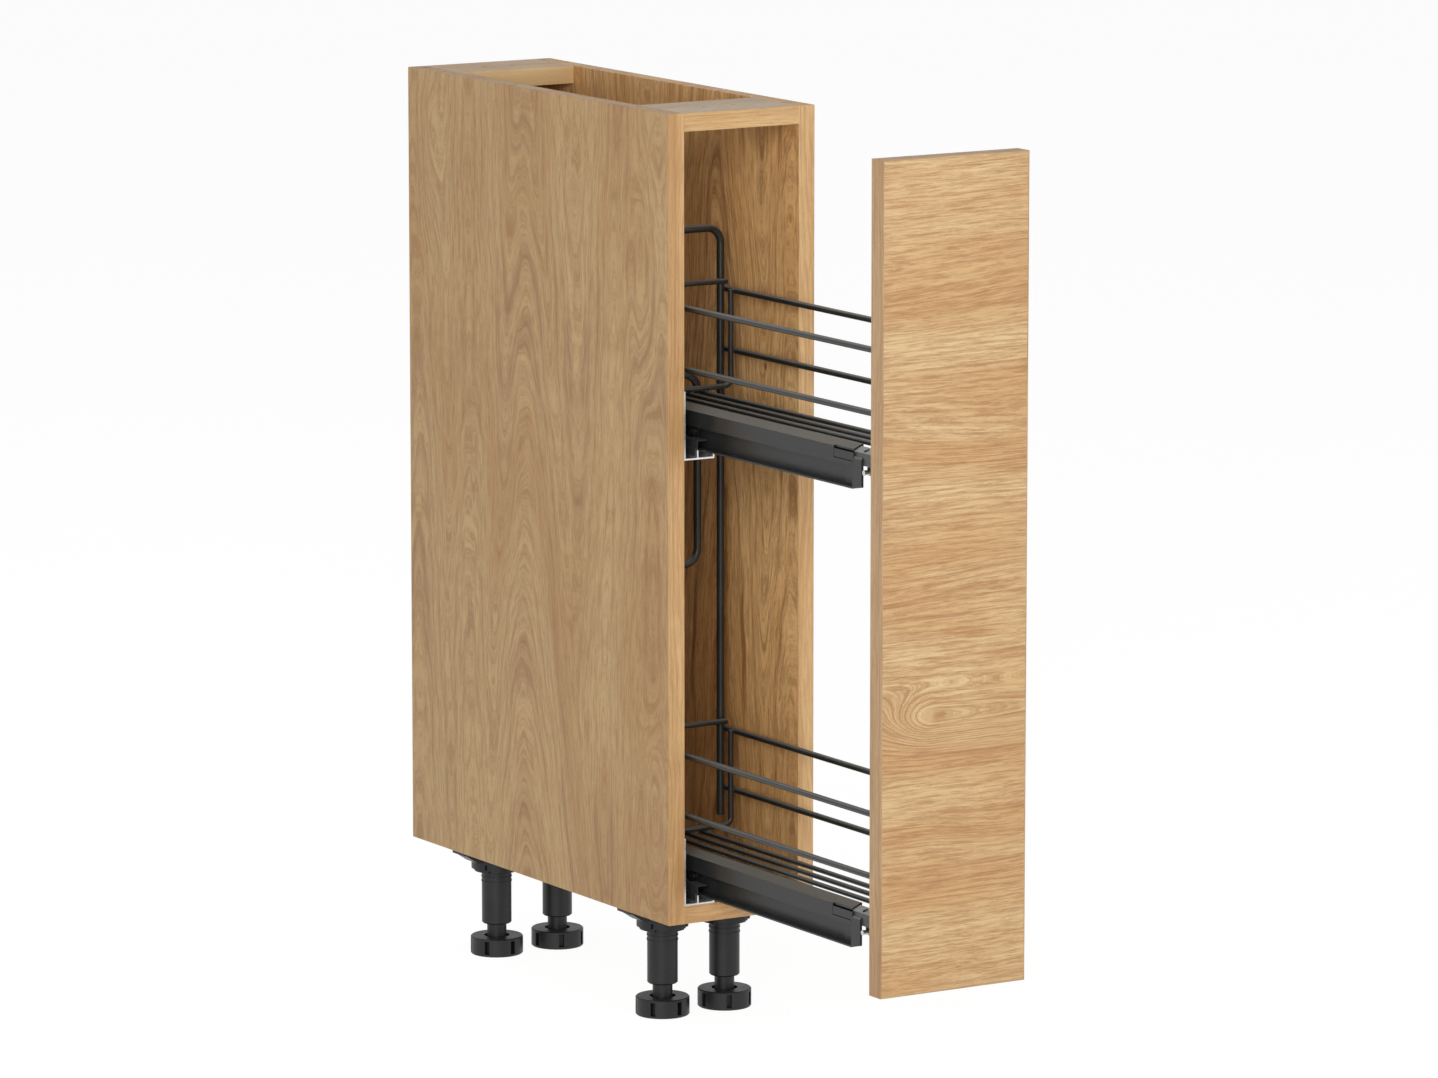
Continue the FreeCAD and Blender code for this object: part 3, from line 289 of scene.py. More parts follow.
class GroupMaker:
    """Builds each shared shader group when it is first asked for."""

    surface = {"Color": ("Color",), "Float": ("Height", "Roughness")}
    # Oak: how dark one ring is from its start to its end, and how much each layer adds.
    ring_stops = ((0.0, 0.3), (0.08, 0.0), (0.6, 0.1), (0.88, 1.0), (1.0, 0.3))
    fine_stops = ((0.0, 0.2), (0.2, 0.0), (0.6, 0.3), (0.85, 1.0), (1.0, 0.2))
    fine_rings = 3.0
    fine_share = 0.55
    least_ring = 0.2
    pore_share = 0.3
    fibre_depth = 0.4
    ring_depth = 0.6
    board_rough = 0.45
    fibre_rough = 0.1
    pore_rough = 0.2
    bend = DrawnNoise((2.2, 11.0, 11.0), 3.0, 0.5, 0.4)
    ripple = DrawnNoise((16.0, 60.0, 60.0))
    ripple_reach = 0.0022
    ragged = DrawnNoise((30.0, 480.0, 480.0), 3.0, 0.7)
    ragged_reach = 0.62
    fade = DrawnNoise((3.5, 26.0, 26.0), 3.0, 0.55, low=0.36, high=0.62)
    streak = DrawnNoise((4.5, 120.0, 120.0), 4.0, 0.62, 0.15, low=0.5, high=0.7)
    fibre = DrawnNoise((30.0, 560.0, 560.0), 6.0, 0.8, 0.1, low=0.42, high=0.62)
    pore = DrawnNoise((85.0, 1500.0, 1500.0), 2.0, 0.6, low=0.56, high=0.7)
    tone = DrawnNoise((2.6, 22.0, 22.0), 3.0, 0.5, 0.3, low=0.36, high=0.64)
    sway = DrawnNoise((5.0, 0.0, 0.0))
    sway_reach = 0.03
    # Chipboard, coats and zinc.
    chip_shape = (1.0, 1.0, 1.6)
    chip_cells = 520.0
    grit_cells = 900.0
    chip_dark = srgb(150, 118, 80)
    chip_light = srgb(214, 184, 140)
    tone_cells = 38.0
    tone_range = (0.36, 0.64)
    peel_share = 0.45
    gloss_reach = 0.18
    rolled = DrawnNoise((900.0, 30.0, 900.0))
    zinc_gloss = 0.26
    zinc_reach = 0.14

    @staticmethod
    def start(name: str, inputs: dict[str, Sequence[str]],
              outputs: dict[str, Sequence[str]]) -> tuple[Graph, Sockets, Sockets]:
        """A new group with its named sockets.

        Args:
            name: the group's name.
            inputs: the names of the inputs of each kind.
            outputs: the names of the outputs of each kind.

        Returns:
            The graph, the sockets that give its inputs and those that take its outputs.
        """
        tree = bpy.data.node_groups.new(name, "ShaderNodeTree")
        for way, kinds in (("INPUT", inputs), ("OUTPUT", outputs)):
            for kind, labels in kinds.items():
                for label in labels:
                    tree.interface.new_socket(label, in_out=way, socket_type=f"NodeSocket{kind}")
        graph = Graph(tree)
        return graph, graph.add("NodeGroupInput").outputs, graph.add("NodeGroupOutput").inputs

    @cached_property
    def oak(self) -> Tree:
        """Oak grain: growth rings, streaks, fibres and open pores that run along the first axis of the place.

        The rings are the level lines of the line value, bent by a long soft noise. Streaks and tones are
        noises drawn out along the rings. Fibres and pores are noises drawn out along the grain.

        Returns:
            The group.
        """
        graph, source, sink = self.start("oak_grain", {
            "Vector": ("Place",),
            "Float": ("Line", "Ring Count", "Wander", "Ring Strength", "Streak Strength", "Fibre Strength"),
            "Color": ("Light", "Middle", "Dark"),
        }, self.surface)
        place = source["Place"]
        along, _, deep = graph.split(place)
        line = graph.moved(source["Line"], graph.drawn(place, self.bend), source["Wander"])
        line = graph.moved(line, graph.drawn(place, self.ripple), self.ripple_reach)
        phase = graph.moved(graph.math("MULTIPLY", line, source["Ring Count"]),
                            graph.drawn(place, self.ragged), self.ragged_reach)
        ring = graph.curve(graph.math("FRACT", phase), self.ring_stops)
        fine = graph.math("FRACT", graph.math("MULTIPLY", phase, self.fine_rings))
        fine = graph.curve(fine, self.fine_stops)
        flow = graph.join(along, line, deep)
        ring = graph.math("MAXIMUM", ring, graph.math("MULTIPLY", fine, self.fine_share))
        fade = graph.math("MULTIPLY_ADD", graph.drawn(flow, self.fade), 1.0 - self.least_ring,
                          self.least_ring)
        ring = graph.math("MULTIPLY", ring, fade)
        streak = graph.drawn(flow, self.streak)
        fibre = graph.drawn(flow, self.fibre)
        pore = graph.drawn(place, self.pore)
        colour = graph.blend(graph.drawn(flow, self.tone), source["Light"], source["Middle"])
        for share, strength in ((ring, "Ring Strength"), (streak, "Streak Strength"),
                                (fibre, "Fibre Strength")):
            colour = graph.blend(graph.math("MULTIPLY", share, source[strength]), colour, source["Dark"])
        colour = graph.blend(graph.math("MULTIPLY", pore, self.pore_share), colour, source["Dark"])
        graph.feed(sink["Color"], colour)
        height = graph.math("SUBTRACT", graph.math("MULTIPLY", fibre, -self.fibre_depth), pore)
        graph.feed(sink["Height"], graph.math("MULTIPLY_ADD", ring, -self.ring_depth, height))
        rough = graph.math("MULTIPLY_ADD", fibre, self.fibre_rough, self.board_rough)
        graph.feed(sink["Roughness"], graph.math("MULTIPLY_ADD", pore, self.pore_rough, rough))
        return graph.tree

    @cached_property
    def heart(self) -> Tree:
        """How far a point lies from a tree's heart, which draws nested arches where a board is cut flat.

        The board cuts a slim cone: the value is the root of the squares of the distance across and of the
        heart's depth, plus the taper times the place along.

        Returns:
            The group.
        """
        graph, source, sink = self.start("grain_heart", {
            "Vector": ("Place",), "Float": ("Across", "Depth", "Taper", "Start"),
        }, {"Float": ("Line",)})
        along, across, _ = graph.split(source["Place"])
        centre = graph.moved(source["Across"], graph.drawn(source["Place"], self.sway), self.sway_reach)
        gap = graph.math("SUBTRACT", across, centre)
        depth = source["Depth"]
        square = graph.math("MULTIPLY_ADD", gap, gap, graph.math("MULTIPLY", depth, depth))
        far = graph.math("ADD", graph.math("SQRT", square), source["Start"])
        graph.feed(sink["Line"], graph.math("MULTIPLY_ADD", along, source["Taper"], far))
        return graph.tree

    @cached_property
    def eye(self) -> Tree:
        """A hump in the grain, which bends the rings round it into an eye or a knot.

        The swell is its rise times a bell curve of the distance from its middle. Its reach along the grain
        differs on its two sides, so that a knot's rings can trail off to one side.

        Returns:
            The group.
        """
        graph, source, sink = self.start("grain_eye", {
            "Vector": ("Place",),
            "Float": ("Along", "Across", "Reach Before", "Reach Beyond", "Width", "Rise"),
        }, {"Float": ("Swell",)})
        along, across, _ = graph.split(source["Place"])
        gap = graph.math("SUBTRACT", along, source["Along"])
        before = graph.math("DIVIDE", graph.math("MINIMUM", gap, 0.0), source["Reach Before"])
        beyond = graph.math("DIVIDE", graph.math("MAXIMUM", gap, 0.0), source["Reach Beyond"])
        sides = graph.math("DIVIDE", graph.math("SUBTRACT", across, source["Across"]), source["Width"])
        far = graph.math("MULTIPLY_ADD", before, before, graph.math(
            "MULTIPLY_ADD", beyond, beyond, graph.math("MULTIPLY", sides, sides)))
        bell = graph.math("POWER", math.e, graph.math("MULTIPLY", far, -1.0))
        graph.feed(sink["Swell"], graph.math("MULTIPLY", bell, source["Rise"]))
        return graph.tree

    @cached_property
    def chipboard(self) -> Tree:
        """The pressed chips that show on a board's bare edges.

        Returns:
            The group.
        """
        graph, source, sink = self.start("chipboard", {"Vector": ("Place",)}, {"Color": ("Color",)})
        place = graph.vector("MULTIPLY", source["Place"], self.chip_shape)
        value, _, _ = graph.split(graph.cells(place, self.chip_cells))
        grit = graph.noise(place, self.grit_cells, 3.0, 0.6)
        graph.feed(sink["Color"], graph.blend(graph.mean(grit, value), self.chip_dark, self.chip_light))
        return graph.tree

    @cached_property
    def coat(self) -> Tree:
        """The faint orange peel and the slight changes of tone of a sprayed or moulded surface.

        Returns:
            The group.
        """
        graph, source, sink = self.start("coat_grain", {
            "Vector": ("Place",), "Float": ("Fineness", "Gloss"), "Color": ("Low", "High"),
        }, self.surface)
        fine = graph.noise(graph.scaled(source["Place"], source["Fineness"]), 1.0)
        broad = graph.noise(source["Place"], self.tone_cells, 3.0)
        share = graph.spread(graph.mean(fine, broad, self.peel_share), *self.tone_range)
        graph.feed(sink["Color"], graph.blend(share, source["Low"], source["High"]))
        graph.feed(sink["Height"], fine)
        graph.feed(sink["Roughness"], graph.moved(source["Gloss"], broad, self.gloss_reach))
        return graph.tree

    @cached_property
    def spangle(self) -> Tree:
        """The crystals of a zinc coat: cells with their own shade, under fine rolling lines.

        Returns:
            The group.
        """
        graph, source, sink = self.start("zinc_spangle", {
            "Vector": ("Place",), "Float": ("Grain Size",), "Color": ("Low", "High"),
        }, self.surface)
        place = source["Place"]
        value, other, _ = graph.split(graph.cells(graph.scaled(place, source["Grain Size"]), 1.0))
        rolled = graph.drawn(place, self.rolled)
        graph.feed(sink["Color"], graph.blend(graph.mean(rolled, value), source["Low"], source["High"]))
        graph.feed(sink["Height"], rolled)
        graph.feed(sink["Roughness"], graph.math("MULTIPLY_ADD", other, self.zinc_reach, self.zinc_gloss))
        return graph.tree


class Grain(Enum):
    """Which way the grain runs, as the order of the axes: along it, across it and through the board."""

    UP_ON_SIDE = ("z", "y", "x")
    UP_ON_FRONT = ("z", "x", "y")
    ACROSS_FRONT = ("x", "z", "y")
    ACROSS_TOP = ("x", "y", "z")


@dataclass(frozen=True)
class Eye:
    """A knot or an eye in the grain, with its reach along the grain before and beyond its middle."""

    along: float
    across: float
    before: float
    beyond: float
    width: float
    rise: float


@dataclass(frozen=True)
class Heart:
    """A row of nested arches: its place across the board, its depth, its taper and its start value."""

    across: float
    depth: float
    taper: float
    start: float


@dataclass(frozen=True)
class OakFinish:
    """Oak-look laminate on one set of boards."""

    name: str
    grain: Grain
    light: Colour
    middle: Colour
    dark: Colour
    rings: float = 120.0
    wander: float = 0.03
    ring_strength: float = 0.5
    streak_strength: float = 0.4
    fibre_strength: float = 0.4
    eyes: tuple[Eye, ...] = ()
    hearts: tuple[Heart, ...] = ()
    marks: tuple[Eye, ...] = ()
    mark_colour: Colour = srgb(84, 54, 34)
    focus: Optional[Eye] = None
    slant: float = 0.0
    shift: tuple[float, float, float] = (0.0, 0.0, 0.0)
    turned_beyond: Optional[float] = None
    turned_grain: Grain = Grain.UP_ON_SIDE
    bare_back: Optional[float] = None
    banded_before: Optional[float] = None
    band_colour: Colour = srgb(250, 212, 152)
    band_strength: float = 0.6
    heart_blend: float = 0.025
    bump: float = 0.35
    bump_depth: float = 0.00012

    def place(self, graph: Graph, point: Socket, grain: Grain) -> Socket:
        """The point in the grain's own axes, moved by the finish's shift."""
        parts = dict(zip("xyz", graph.split(point)))
        return graph.vector("ADD", graph.join(*[parts[axis] for axis in grain.value]), self.shift)

    def line(self, graph: Graph, groups: GroupMaker, place: Socket) -> Socket:
        """The value whose level lines are the rings.

        It is the nearest heart's value, or without hearts the place across, plus the slant and the eyes.

        Args:
            graph: the material's graph.
            groups: the shared groups.
            place: the point in the grain's axes.

        Returns:
            The value's socket.
        """
        along, line, _ = graph.split(place)
        for number, heart in enumerate(self.hearts):
            near = graph.use(groups.heart, {"Place": place, "Across": heart.across, "Depth": heart.depth,
                                            "Taper": heart.taper, "Start": heart.start})["Line"]
            line = near if number == 0 else graph.math("SMOOTH_MIN", line, near, self.heart_blend)
        line = graph.math("MULTIPLY_ADD", along, self.slant, line)
        for eye in self.eyes:
            line = graph.math("ADD", line, self.hump(graph, groups, place, eye))
        return line

    @staticmethod
    def hump(graph: Graph, groups: GroupMaker, place: Socket, eye: Eye) -> Socket:
        """The eye group's value for one eye at a place in the grain's axes."""
        return graph.use(groups.eye, {"Place": place, "Along": eye.along, "Across": eye.across,
                                      "Reach Before": eye.before, "Reach Beyond": eye.beyond,
                                      "Width": eye.width, "Rise": eye.rise})["Swell"]

    def boards(self, graph: Graph, groups: GroupMaker, place: Socket) -> Sockets:
        """The grain group at one place, with the finish's hearts and eyes.

        Args:
            graph: the material's graph.
            groups: the shared groups.
            place: the point in the grain's axes.

        Returns:
            The group's outputs.
        """
        strength: object = self.ring_strength
        if self.focus is not None:
            strength = graph.math("ADD", self.hump(graph, groups, place, self.focus), strength)
        return graph.use(groups.oak, {
            "Place": place, "Line": self.line(graph, groups, place), "Ring Count": self.rings,
            "Wander": self.wander, "Ring Strength": strength, "Streak Strength": self.streak_strength,
            "Fibre Strength": self.fibre_strength, "Light": self.light, "Middle": self.middle,
            "Dark": self.dark})

    def material(self, groups: GroupMaker) -> Material:
        """The finish as a material.

        Args:
            groups: the shared groups.

        Returns:
            The material.
        """
        made, graph, shader, point = new_material(self.name)
        place = self.place(graph, point, self.grain)
        first = self.boards(graph, groups, place)
        colour, height = first["Color"], first["Height"]
        for mark in self.marks:
            colour = graph.blend(self.hump(graph, groups, place, mark), colour, self.mark_colour)
        x, y, _ = graph.split(point)
        if self.banded_before is not None:
            band = graph.math("LESS_THAN", y, self.banded_before)
            colour = graph.blend(graph.math("MULTIPLY", band, self.band_strength), colour,
                                 self.band_colour)
        if self.turned_beyond is not None:
            second = self.boards(graph, groups, self.place(graph, point, self.turned_grain))
            side = graph.math("GREATER_THAN", graph.math("ABSOLUTE", x), self.turned_beyond)
            colour = graph.blend(side, colour, second["Color"])
            height = graph.math("MULTIPLY_ADD", side, graph.math("SUBTRACT", second["Height"], height),
                                height)
        if self.bare_back is not None:
            bare = graph.use(groups.chipboard, {"Place": point})
            colour = graph.blend(graph.math("GREATER_THAN", y, self.bare_back), colour, bare["Color"])
        fill_shader(graph, shader, colour, first["Roughness"], height, self.bump, self.bump_depth)
        return made


@dataclass(frozen=True)
class CoatFinish:
    """A sprayed, moulded or rubber surface of one colour with a faint grain, which can also get a painted
    sheen on faces that point up and a painted shade beyond a place along y.
    """

    name: str
    low: Colour
    high: Colour
    gloss: float = 0.4
    fineness: float = 1500.0
    specular: float = 0.5
    # Painted shade: beyond this place along y the colour turns near black, as if in shade.
    painted_shade_beyond: Optional[float] = None
    painted_shade_colour: Colour = srgb(14, 14, 14)
    # Painted sheen: a lighter colour on faces that point up, spread between the two slopes of the normal, as
    # if lit from above.
    painted_sheen: Optional[Colour] = None
    painted_sheen_slopes: tuple[float, float] = (0.3, 0.8)
    # When the sheen is kept to slopes, flat tops whose normal reaches the level get none and stay dark, as if
    # shaded.
    sheen_on_slopes_only: bool = False
    level: float = 0.995
    bump: float = 0.25
    bump_depth: float = 0.00008

    def material(self, groups: GroupMaker) -> Material:
        """The finish as a material.

        Args:
            groups: the shared groups.

        Returns:
            The material.
        """
        made, graph, shader, point = new_material(self.name)
        coat = graph.use(groups.coat, {"Place": point, "Fineness": self.fineness, "Low": self.low,
                                       "High": self.high, "Gloss": self.gloss})
        colour = coat["Color"]
        # Painted sheen: faces that point up turn towards the lighter colour, as if lit from above; flat tops
        # can be left out.
        if self.painted_sheen is not None:
            _, _, up = graph.split(graph.add("ShaderNodeTexCoord").outputs["Normal"])
            share = graph.spread(up, *self.painted_sheen_slopes)
            if self.sheen_on_slopes_only:
                share = graph.math("MULTIPLY", share, graph.math("LESS_THAN", up, self.level))
            colour = graph.blend(share, colour, self.painted_sheen)
        # Painted shade: beyond the given place along y the colour turns near black, as if in shade.
        if self.painted_shade_beyond is not None:
            _, y, _ = graph.split(point)
            colour = graph.blend(graph.math("GREATER_THAN", y, self.painted_shade_beyond), colour, self.painted_shade_colour)
        shader.inputs["Specular IOR Level"].default_value = self.specular
        fill_shader(graph, shader, colour, coat["Roughness"], coat["Height"], self.bump, self.bump_depth)
        return made


@dataclass(frozen=True)
class ZincFinish:
    """Galvanised, plated or turned metal."""

    name: str
    low: Colour
    high: Colour
    grain_size: float = 260.0
    metallic: float = 0.9
    bump: float = 0.12
    bump_depth: float = 0.00005

    def material(self, groups: GroupMaker) -> Material:
        """The finish as a material.

        Args:
            groups: the shared groups.

        Returns:
            The material.
        """
        made, graph, shader, point = new_material(self.name)
        zinc = graph.use(groups.spangle, {"Place": point, "Grain Size": self.grain_size, "Low": self.low,
                                          "High": self.high})
        shader.inputs["Metallic"].default_value = self.metallic
        fill_shader(graph, shader, zinc["Color"], zinc["Roughness"], zinc["Height"], self.bump,
                    self.bump_depth)
        return made


def new_material(name: str) -> tuple[Material, Graph, Node, Socket]:
    """A material with its shader and its object coordinates.

    Args:
        name: the material's name.

    Returns:
        The material, its graph, its shader node and the socket of the object coordinates.
    """
    made = bpy.data.materials.new(name)
    made.use_nodes = True
    graph = Graph(made.node_tree)
    shader = made.node_tree.nodes["Principled BSDF"]
    point = graph.add("ShaderNodeTexCoord").outputs["Object"]
    return made, graph, shader, point


def fill_shader(graph: Graph, shader: Node, colour: Socket, rough: Socket, height: Socket, strength: float,
                distance: float) -> None:
    """Gives a shader its colour, its roughness and a bump.

    Args:
        graph: the material's graph.
        shader: the shader node.
        colour: the base colour.
        rough: the roughness.
        height: the height of the surface, about 0 to 1.
        strength: how much of it shows.
        distance: what a height of 1 measures.
    """
    graph.feed(shader.inputs["Base Color"], colour)
    graph.feed(shader.inputs["Roughness"], rough)
    bump = graph.add("ShaderNodeBump")
    bump.inputs["Strength"].default_value = strength
    bump.inputs["Distance"].default_value = distance
    graph.feed(bump.inputs["Height"], height)
    graph.feed(shader.inputs["Normal"], bump.outputs["Normal"])


def ellipsoids(centres: np.ndarray, radii: Sequence[float], rings: int = 7,
               around: int = 14) -> tuple[np.ndarray, list[tuple[int, ...]]]:
    """Closed ellipsoids round many centres.

    A point at turn a and height angle b is the centre plus (rx cos a sin b, ry sin a sin b, rz cos b). The
    grid leaves out the poles, which are single points closed by fans.

    Args:
        centres: the centres, one row each.
        radii: the three half axes.
        rings: the number of rings between the poles.
        around: the number of points in a ring.

    Returns:
        The points and the faces.
    """
    tilt = np.pi * np.arange(1, rings + 1)[:, None] / (rings + 1)
    turn = 2 * np.pi * np.arange(around)[None, :] / around
    shell = np.stack([np.cos(turn) * np.sin(tilt), np.sin(turn) * np.sin(tilt),
                      np.cos(tilt) * np.ones_like(turn)], axis=-1).reshape(-1, 3)
    unit = np.vstack([shell, [[0, 0, 1], [0, 0, -1]]]) * np.asarray(radii, float)
    points = (centres[:, None, :] + unit[None, :, :]).reshape(-1, 3)
    ring, step = np.meshgrid(np.arange(rings - 1), np.arange(around), indexing="ij")
    here, beside = ring * around + step, ring * around + (step + 1) % around
    quads = np.stack([here, here + around, beside + around, beside], axis=-1).reshape(-1, 4)
    step = np.arange(around)
    beside, last = (step + 1) % around, (rings - 1) * around
    top = np.stack([np.full(around, rings * around), step, beside], axis=-1)
    low = np.stack([np.full(around, rings * around + 1), last + beside, last + step], axis=-1)
    starts = np.arange(len(centres)) * len(unit)
    faces: list[tuple[int, ...]] = []
    for start in starts:
        faces += [tuple(face) for face in (quads + start).tolist()]
        faces += [tuple(face) for face in (np.vstack([top, low]) + start).tolist()]
    return points, faces


def add_beads(name: str, centres: np.ndarray, radii: Sequence[float], material: Material, body: str) -> None:
    """A new smooth piece of ellipsoids that rides on a body.

    Args:
        name: the piece's name.
        centres: the ellipsoids' centres, one row each.
        radii: their three half axes.
        material: its material.
        body: the body that carries it.
    """
    points, faces = ellipsoids(centres, radii)
    mesh = bpy.data.meshes.new(name)
    mesh.from_pydata(points.tolist(), [], faces)
    mesh.polygons.foreach_set("use_smooth", np.ones(len(mesh.polygons), bool))
    mesh.materials.append(material)
    piece = bpy.data.objects.new(name, mesh)
    bpy.context.scene.collection.objects.link(piece)
    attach(piece, body)
    LOG.info("%s made", name)


@dataclass
class Dresser:
    """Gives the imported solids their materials."""

    nodes: dict[str, bpy.types.Object]
    groups: GroupMaker = field(default_factory=GroupMaker)

    def dress(self, finish: object, names: Sequence[str]) -> Material:
        """One finish on several nodes.

        Args:
            finish: the finish.
            names: the nodes' names.

        Returns:
            The material.
        """
        material = finish.material(self.groups)
        for name in names:
            node = self.nodes[name]
            if not node.material_slots:
                node.data.materials.append(material)
            for slot in node.material_slots:
                slot.material = material
        LOG.info("%s on %d nodes", material.name, len(names))
        return material


@dataclass
class Carcass:
    """The fixed box of boards."""

    light: Colour = srgb(212, 180, 134)
    middle: Colour = srgb(200, 163, 116)
    dark: Colour = srgb(156, 108, 70)
    back_skin: float = 0.0002
    band_skin: float = 0.0004

    def dress(self, dresser: Dresser) -> None:
        """Puts oak-look board on the panels, edging, rails and back.

        Args:
            dresser: gives the nodes their materials.
        """
        bare_back = float(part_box("left_side_panel")[1][1]) - self.back_skin
        banded_before = float(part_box("rear_top_rail")[0][1]) + self.band_skin
        inner_face = abs(float(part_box("left_side_panel")[1][0])) - EDGE_SKIN
        arches = (Heart(0.192, 0.036, 0.15, 0.0), Heart(0.385, 0.03, 0.05, 0.03),
                  Heart(0.29, 0.03, 0.035, 0.045), Heart(0.098, 0.034, -0.05, 0.12),
                  Heart(-0.03, 0.04, 0.02, 0.07))
        eyes = (Eye(0.67, -0.02, 0.11, 0.11, 0.022, 0.026), Eye(0.185, -0.035, 0.08, 0.08, 0.018, 0.02),
                Eye(0.77, 0.365, 0.1, 0.06, 0.02, 0.018))
        dresser.dress(OakFinish("oak_side_left", Grain.UP_ON_SIDE, srgb(203, 170, 120), srgb(190, 151, 101),
                                srgb(142, 95, 58), rings=115.0, wander=0.02, ring_strength=0.38,
                                streak_strength=0.46, fibre_strength=0.44, eyes=eyes, hearts=arches,
                                bare_back=bare_back), ["left_side_panel"])
        right_arches = (Heart(0.075, 0.024, 0.075, 0.0), Heart(0.2, 0.024, -0.06, 0.1),
                        Heart(-0.05, 0.024, 0.05, 0.04))
        # The right panel's light and middle colours are lighter than the other boards': painted light that
        # stands in for more light on its inner face.
        dresser.dress(OakFinish("oak_side_right", Grain.UP_ON_SIDE, srgb(246, 203, 142),
                                srgb(228, 177, 114), srgb(138, 88, 48), streak_strength=0.75,
                                fibre_strength=0.6, hearts=right_arches,
                                marks=(Eye(0.5825, -0.004, 0.004, 0.004, 0.0022, 0.9),),
                                bare_back=bare_back), ["right_side_panel"])
        dresser.dress(OakFinish("oak_front_rail", Grain.ACROSS_TOP, srgb(216, 192, 160), srgb(203, 175, 142),
                                srgb(162, 126, 94), ring_strength=0.35, shift=(0.1, 0.2, 0.5)),
                      ["front_top_rail"])
        dresser.dress(OakFinish("oak_rear_rail", Grain.ACROSS_TOP, srgb(222, 194, 156), srgb(208, 176, 136),
                                srgb(166, 124, 84), ring_strength=0.4, shift=(0.3, 0.1, 0.4),
                                banded_before=banded_before), ["rear_top_rail"])
        dresser.dress(OakFinish("oak_bottom", Grain.ACROSS_TOP, self.light, self.middle, self.dark,
                                shift=(0.3, 0.4, 0.1)), ["bottom_panel"])
        dresser.dress(OakFinish("oak_back", Grain.UP_ON_FRONT, self.light, self.middle, self.dark,
                                rings=70.0, wander=0.05, shift=(0.9, 0.3, 0.2)), ["back_panel"])
        dresser.dress(OakFinish("oak_carcass_edge", Grain.ACROSS_FRONT, srgb(230, 191, 136),
                                srgb(214, 171, 116), srgb(170, 117, 70), rings=200.0, wander=0.05,
                                turned_beyond=inner_face, turned_grain=Grain.UP_ON_FRONT),
                      ["carcass_edging"])
        dresser.dress(OakFinish("dowel_beech", Grain.ACROSS_TOP, srgb(222, 192, 148), srgb(208, 174, 128),
                                srgb(170, 132, 90), rings=400.0, wander=0.06), ["carcass_dowels"])


@dataclass
class Front:
    """The full-height front board."""

    light: Colour = srgb(232, 202, 152)
    middle: Colour = srgb(217, 177, 124)
    dark: Colour = srgb(166, 110, 64)

    def dress(self, dresser: Dresser) -> None:
        """Puts oak-look board with the knot on the front, edging round it and pads behind it.

        Args:
            dresser: gives the nodes their materials.
        """
        knot = Eye(-0.02, 0.336, 0.04, 0.34, 0.0205, 0.06)
        core = (Eye(-0.017, 0.3385, 0.006, 0.008, 0.006, 0.6),)
        side_face = float(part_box("front_panel")[1][0]) - EDGE_SKIN
        curls = (knot, Eye(0.09, 0.575, 0.2, 0.08, 0.03, 0.018), Eye(0.05, 0.24, 0.06, 0.09, 0.02, 0.008),
                 Eye(-0.09, 0.7, 0.08, 0.16, 0.03, 0.012), Eye(0.06, 0.46, 0.12, 0.08, 0.02, -0.01))
        dresser.dress(OakFinish("oak_front", Grain.ACROSS_FRONT, self.light, self.middle, self.dark,
                                rings=165.0, wander=0.018, ring_strength=0.46, streak_strength=0.5,
                                fibre_strength=0.62, eyes=curls, marks=core, mark_colour=srgb(176, 122, 74),
                                focus=Eye(-0.03, 0.335, 0.06, 0.03, 0.035, 0.4), slant=-0.02),
                      ["front_panel"])
        dresser.dress(OakFinish("oak_front_edge", Grain.ACROSS_TOP, srgb(206, 172, 132), srgb(190, 154, 112),
                                srgb(150, 108, 72), rings=200.0, wander=0.04, turned_beyond=side_face,
                                turned_grain=Grain.UP_ON_SIDE), ["front_edging"])
        dresser.dress(CoatFinish("bumper_rubber", srgb(196, 196, 192), srgb(212, 212, 208), gloss=0.35),
                      ["front_bumpers"])


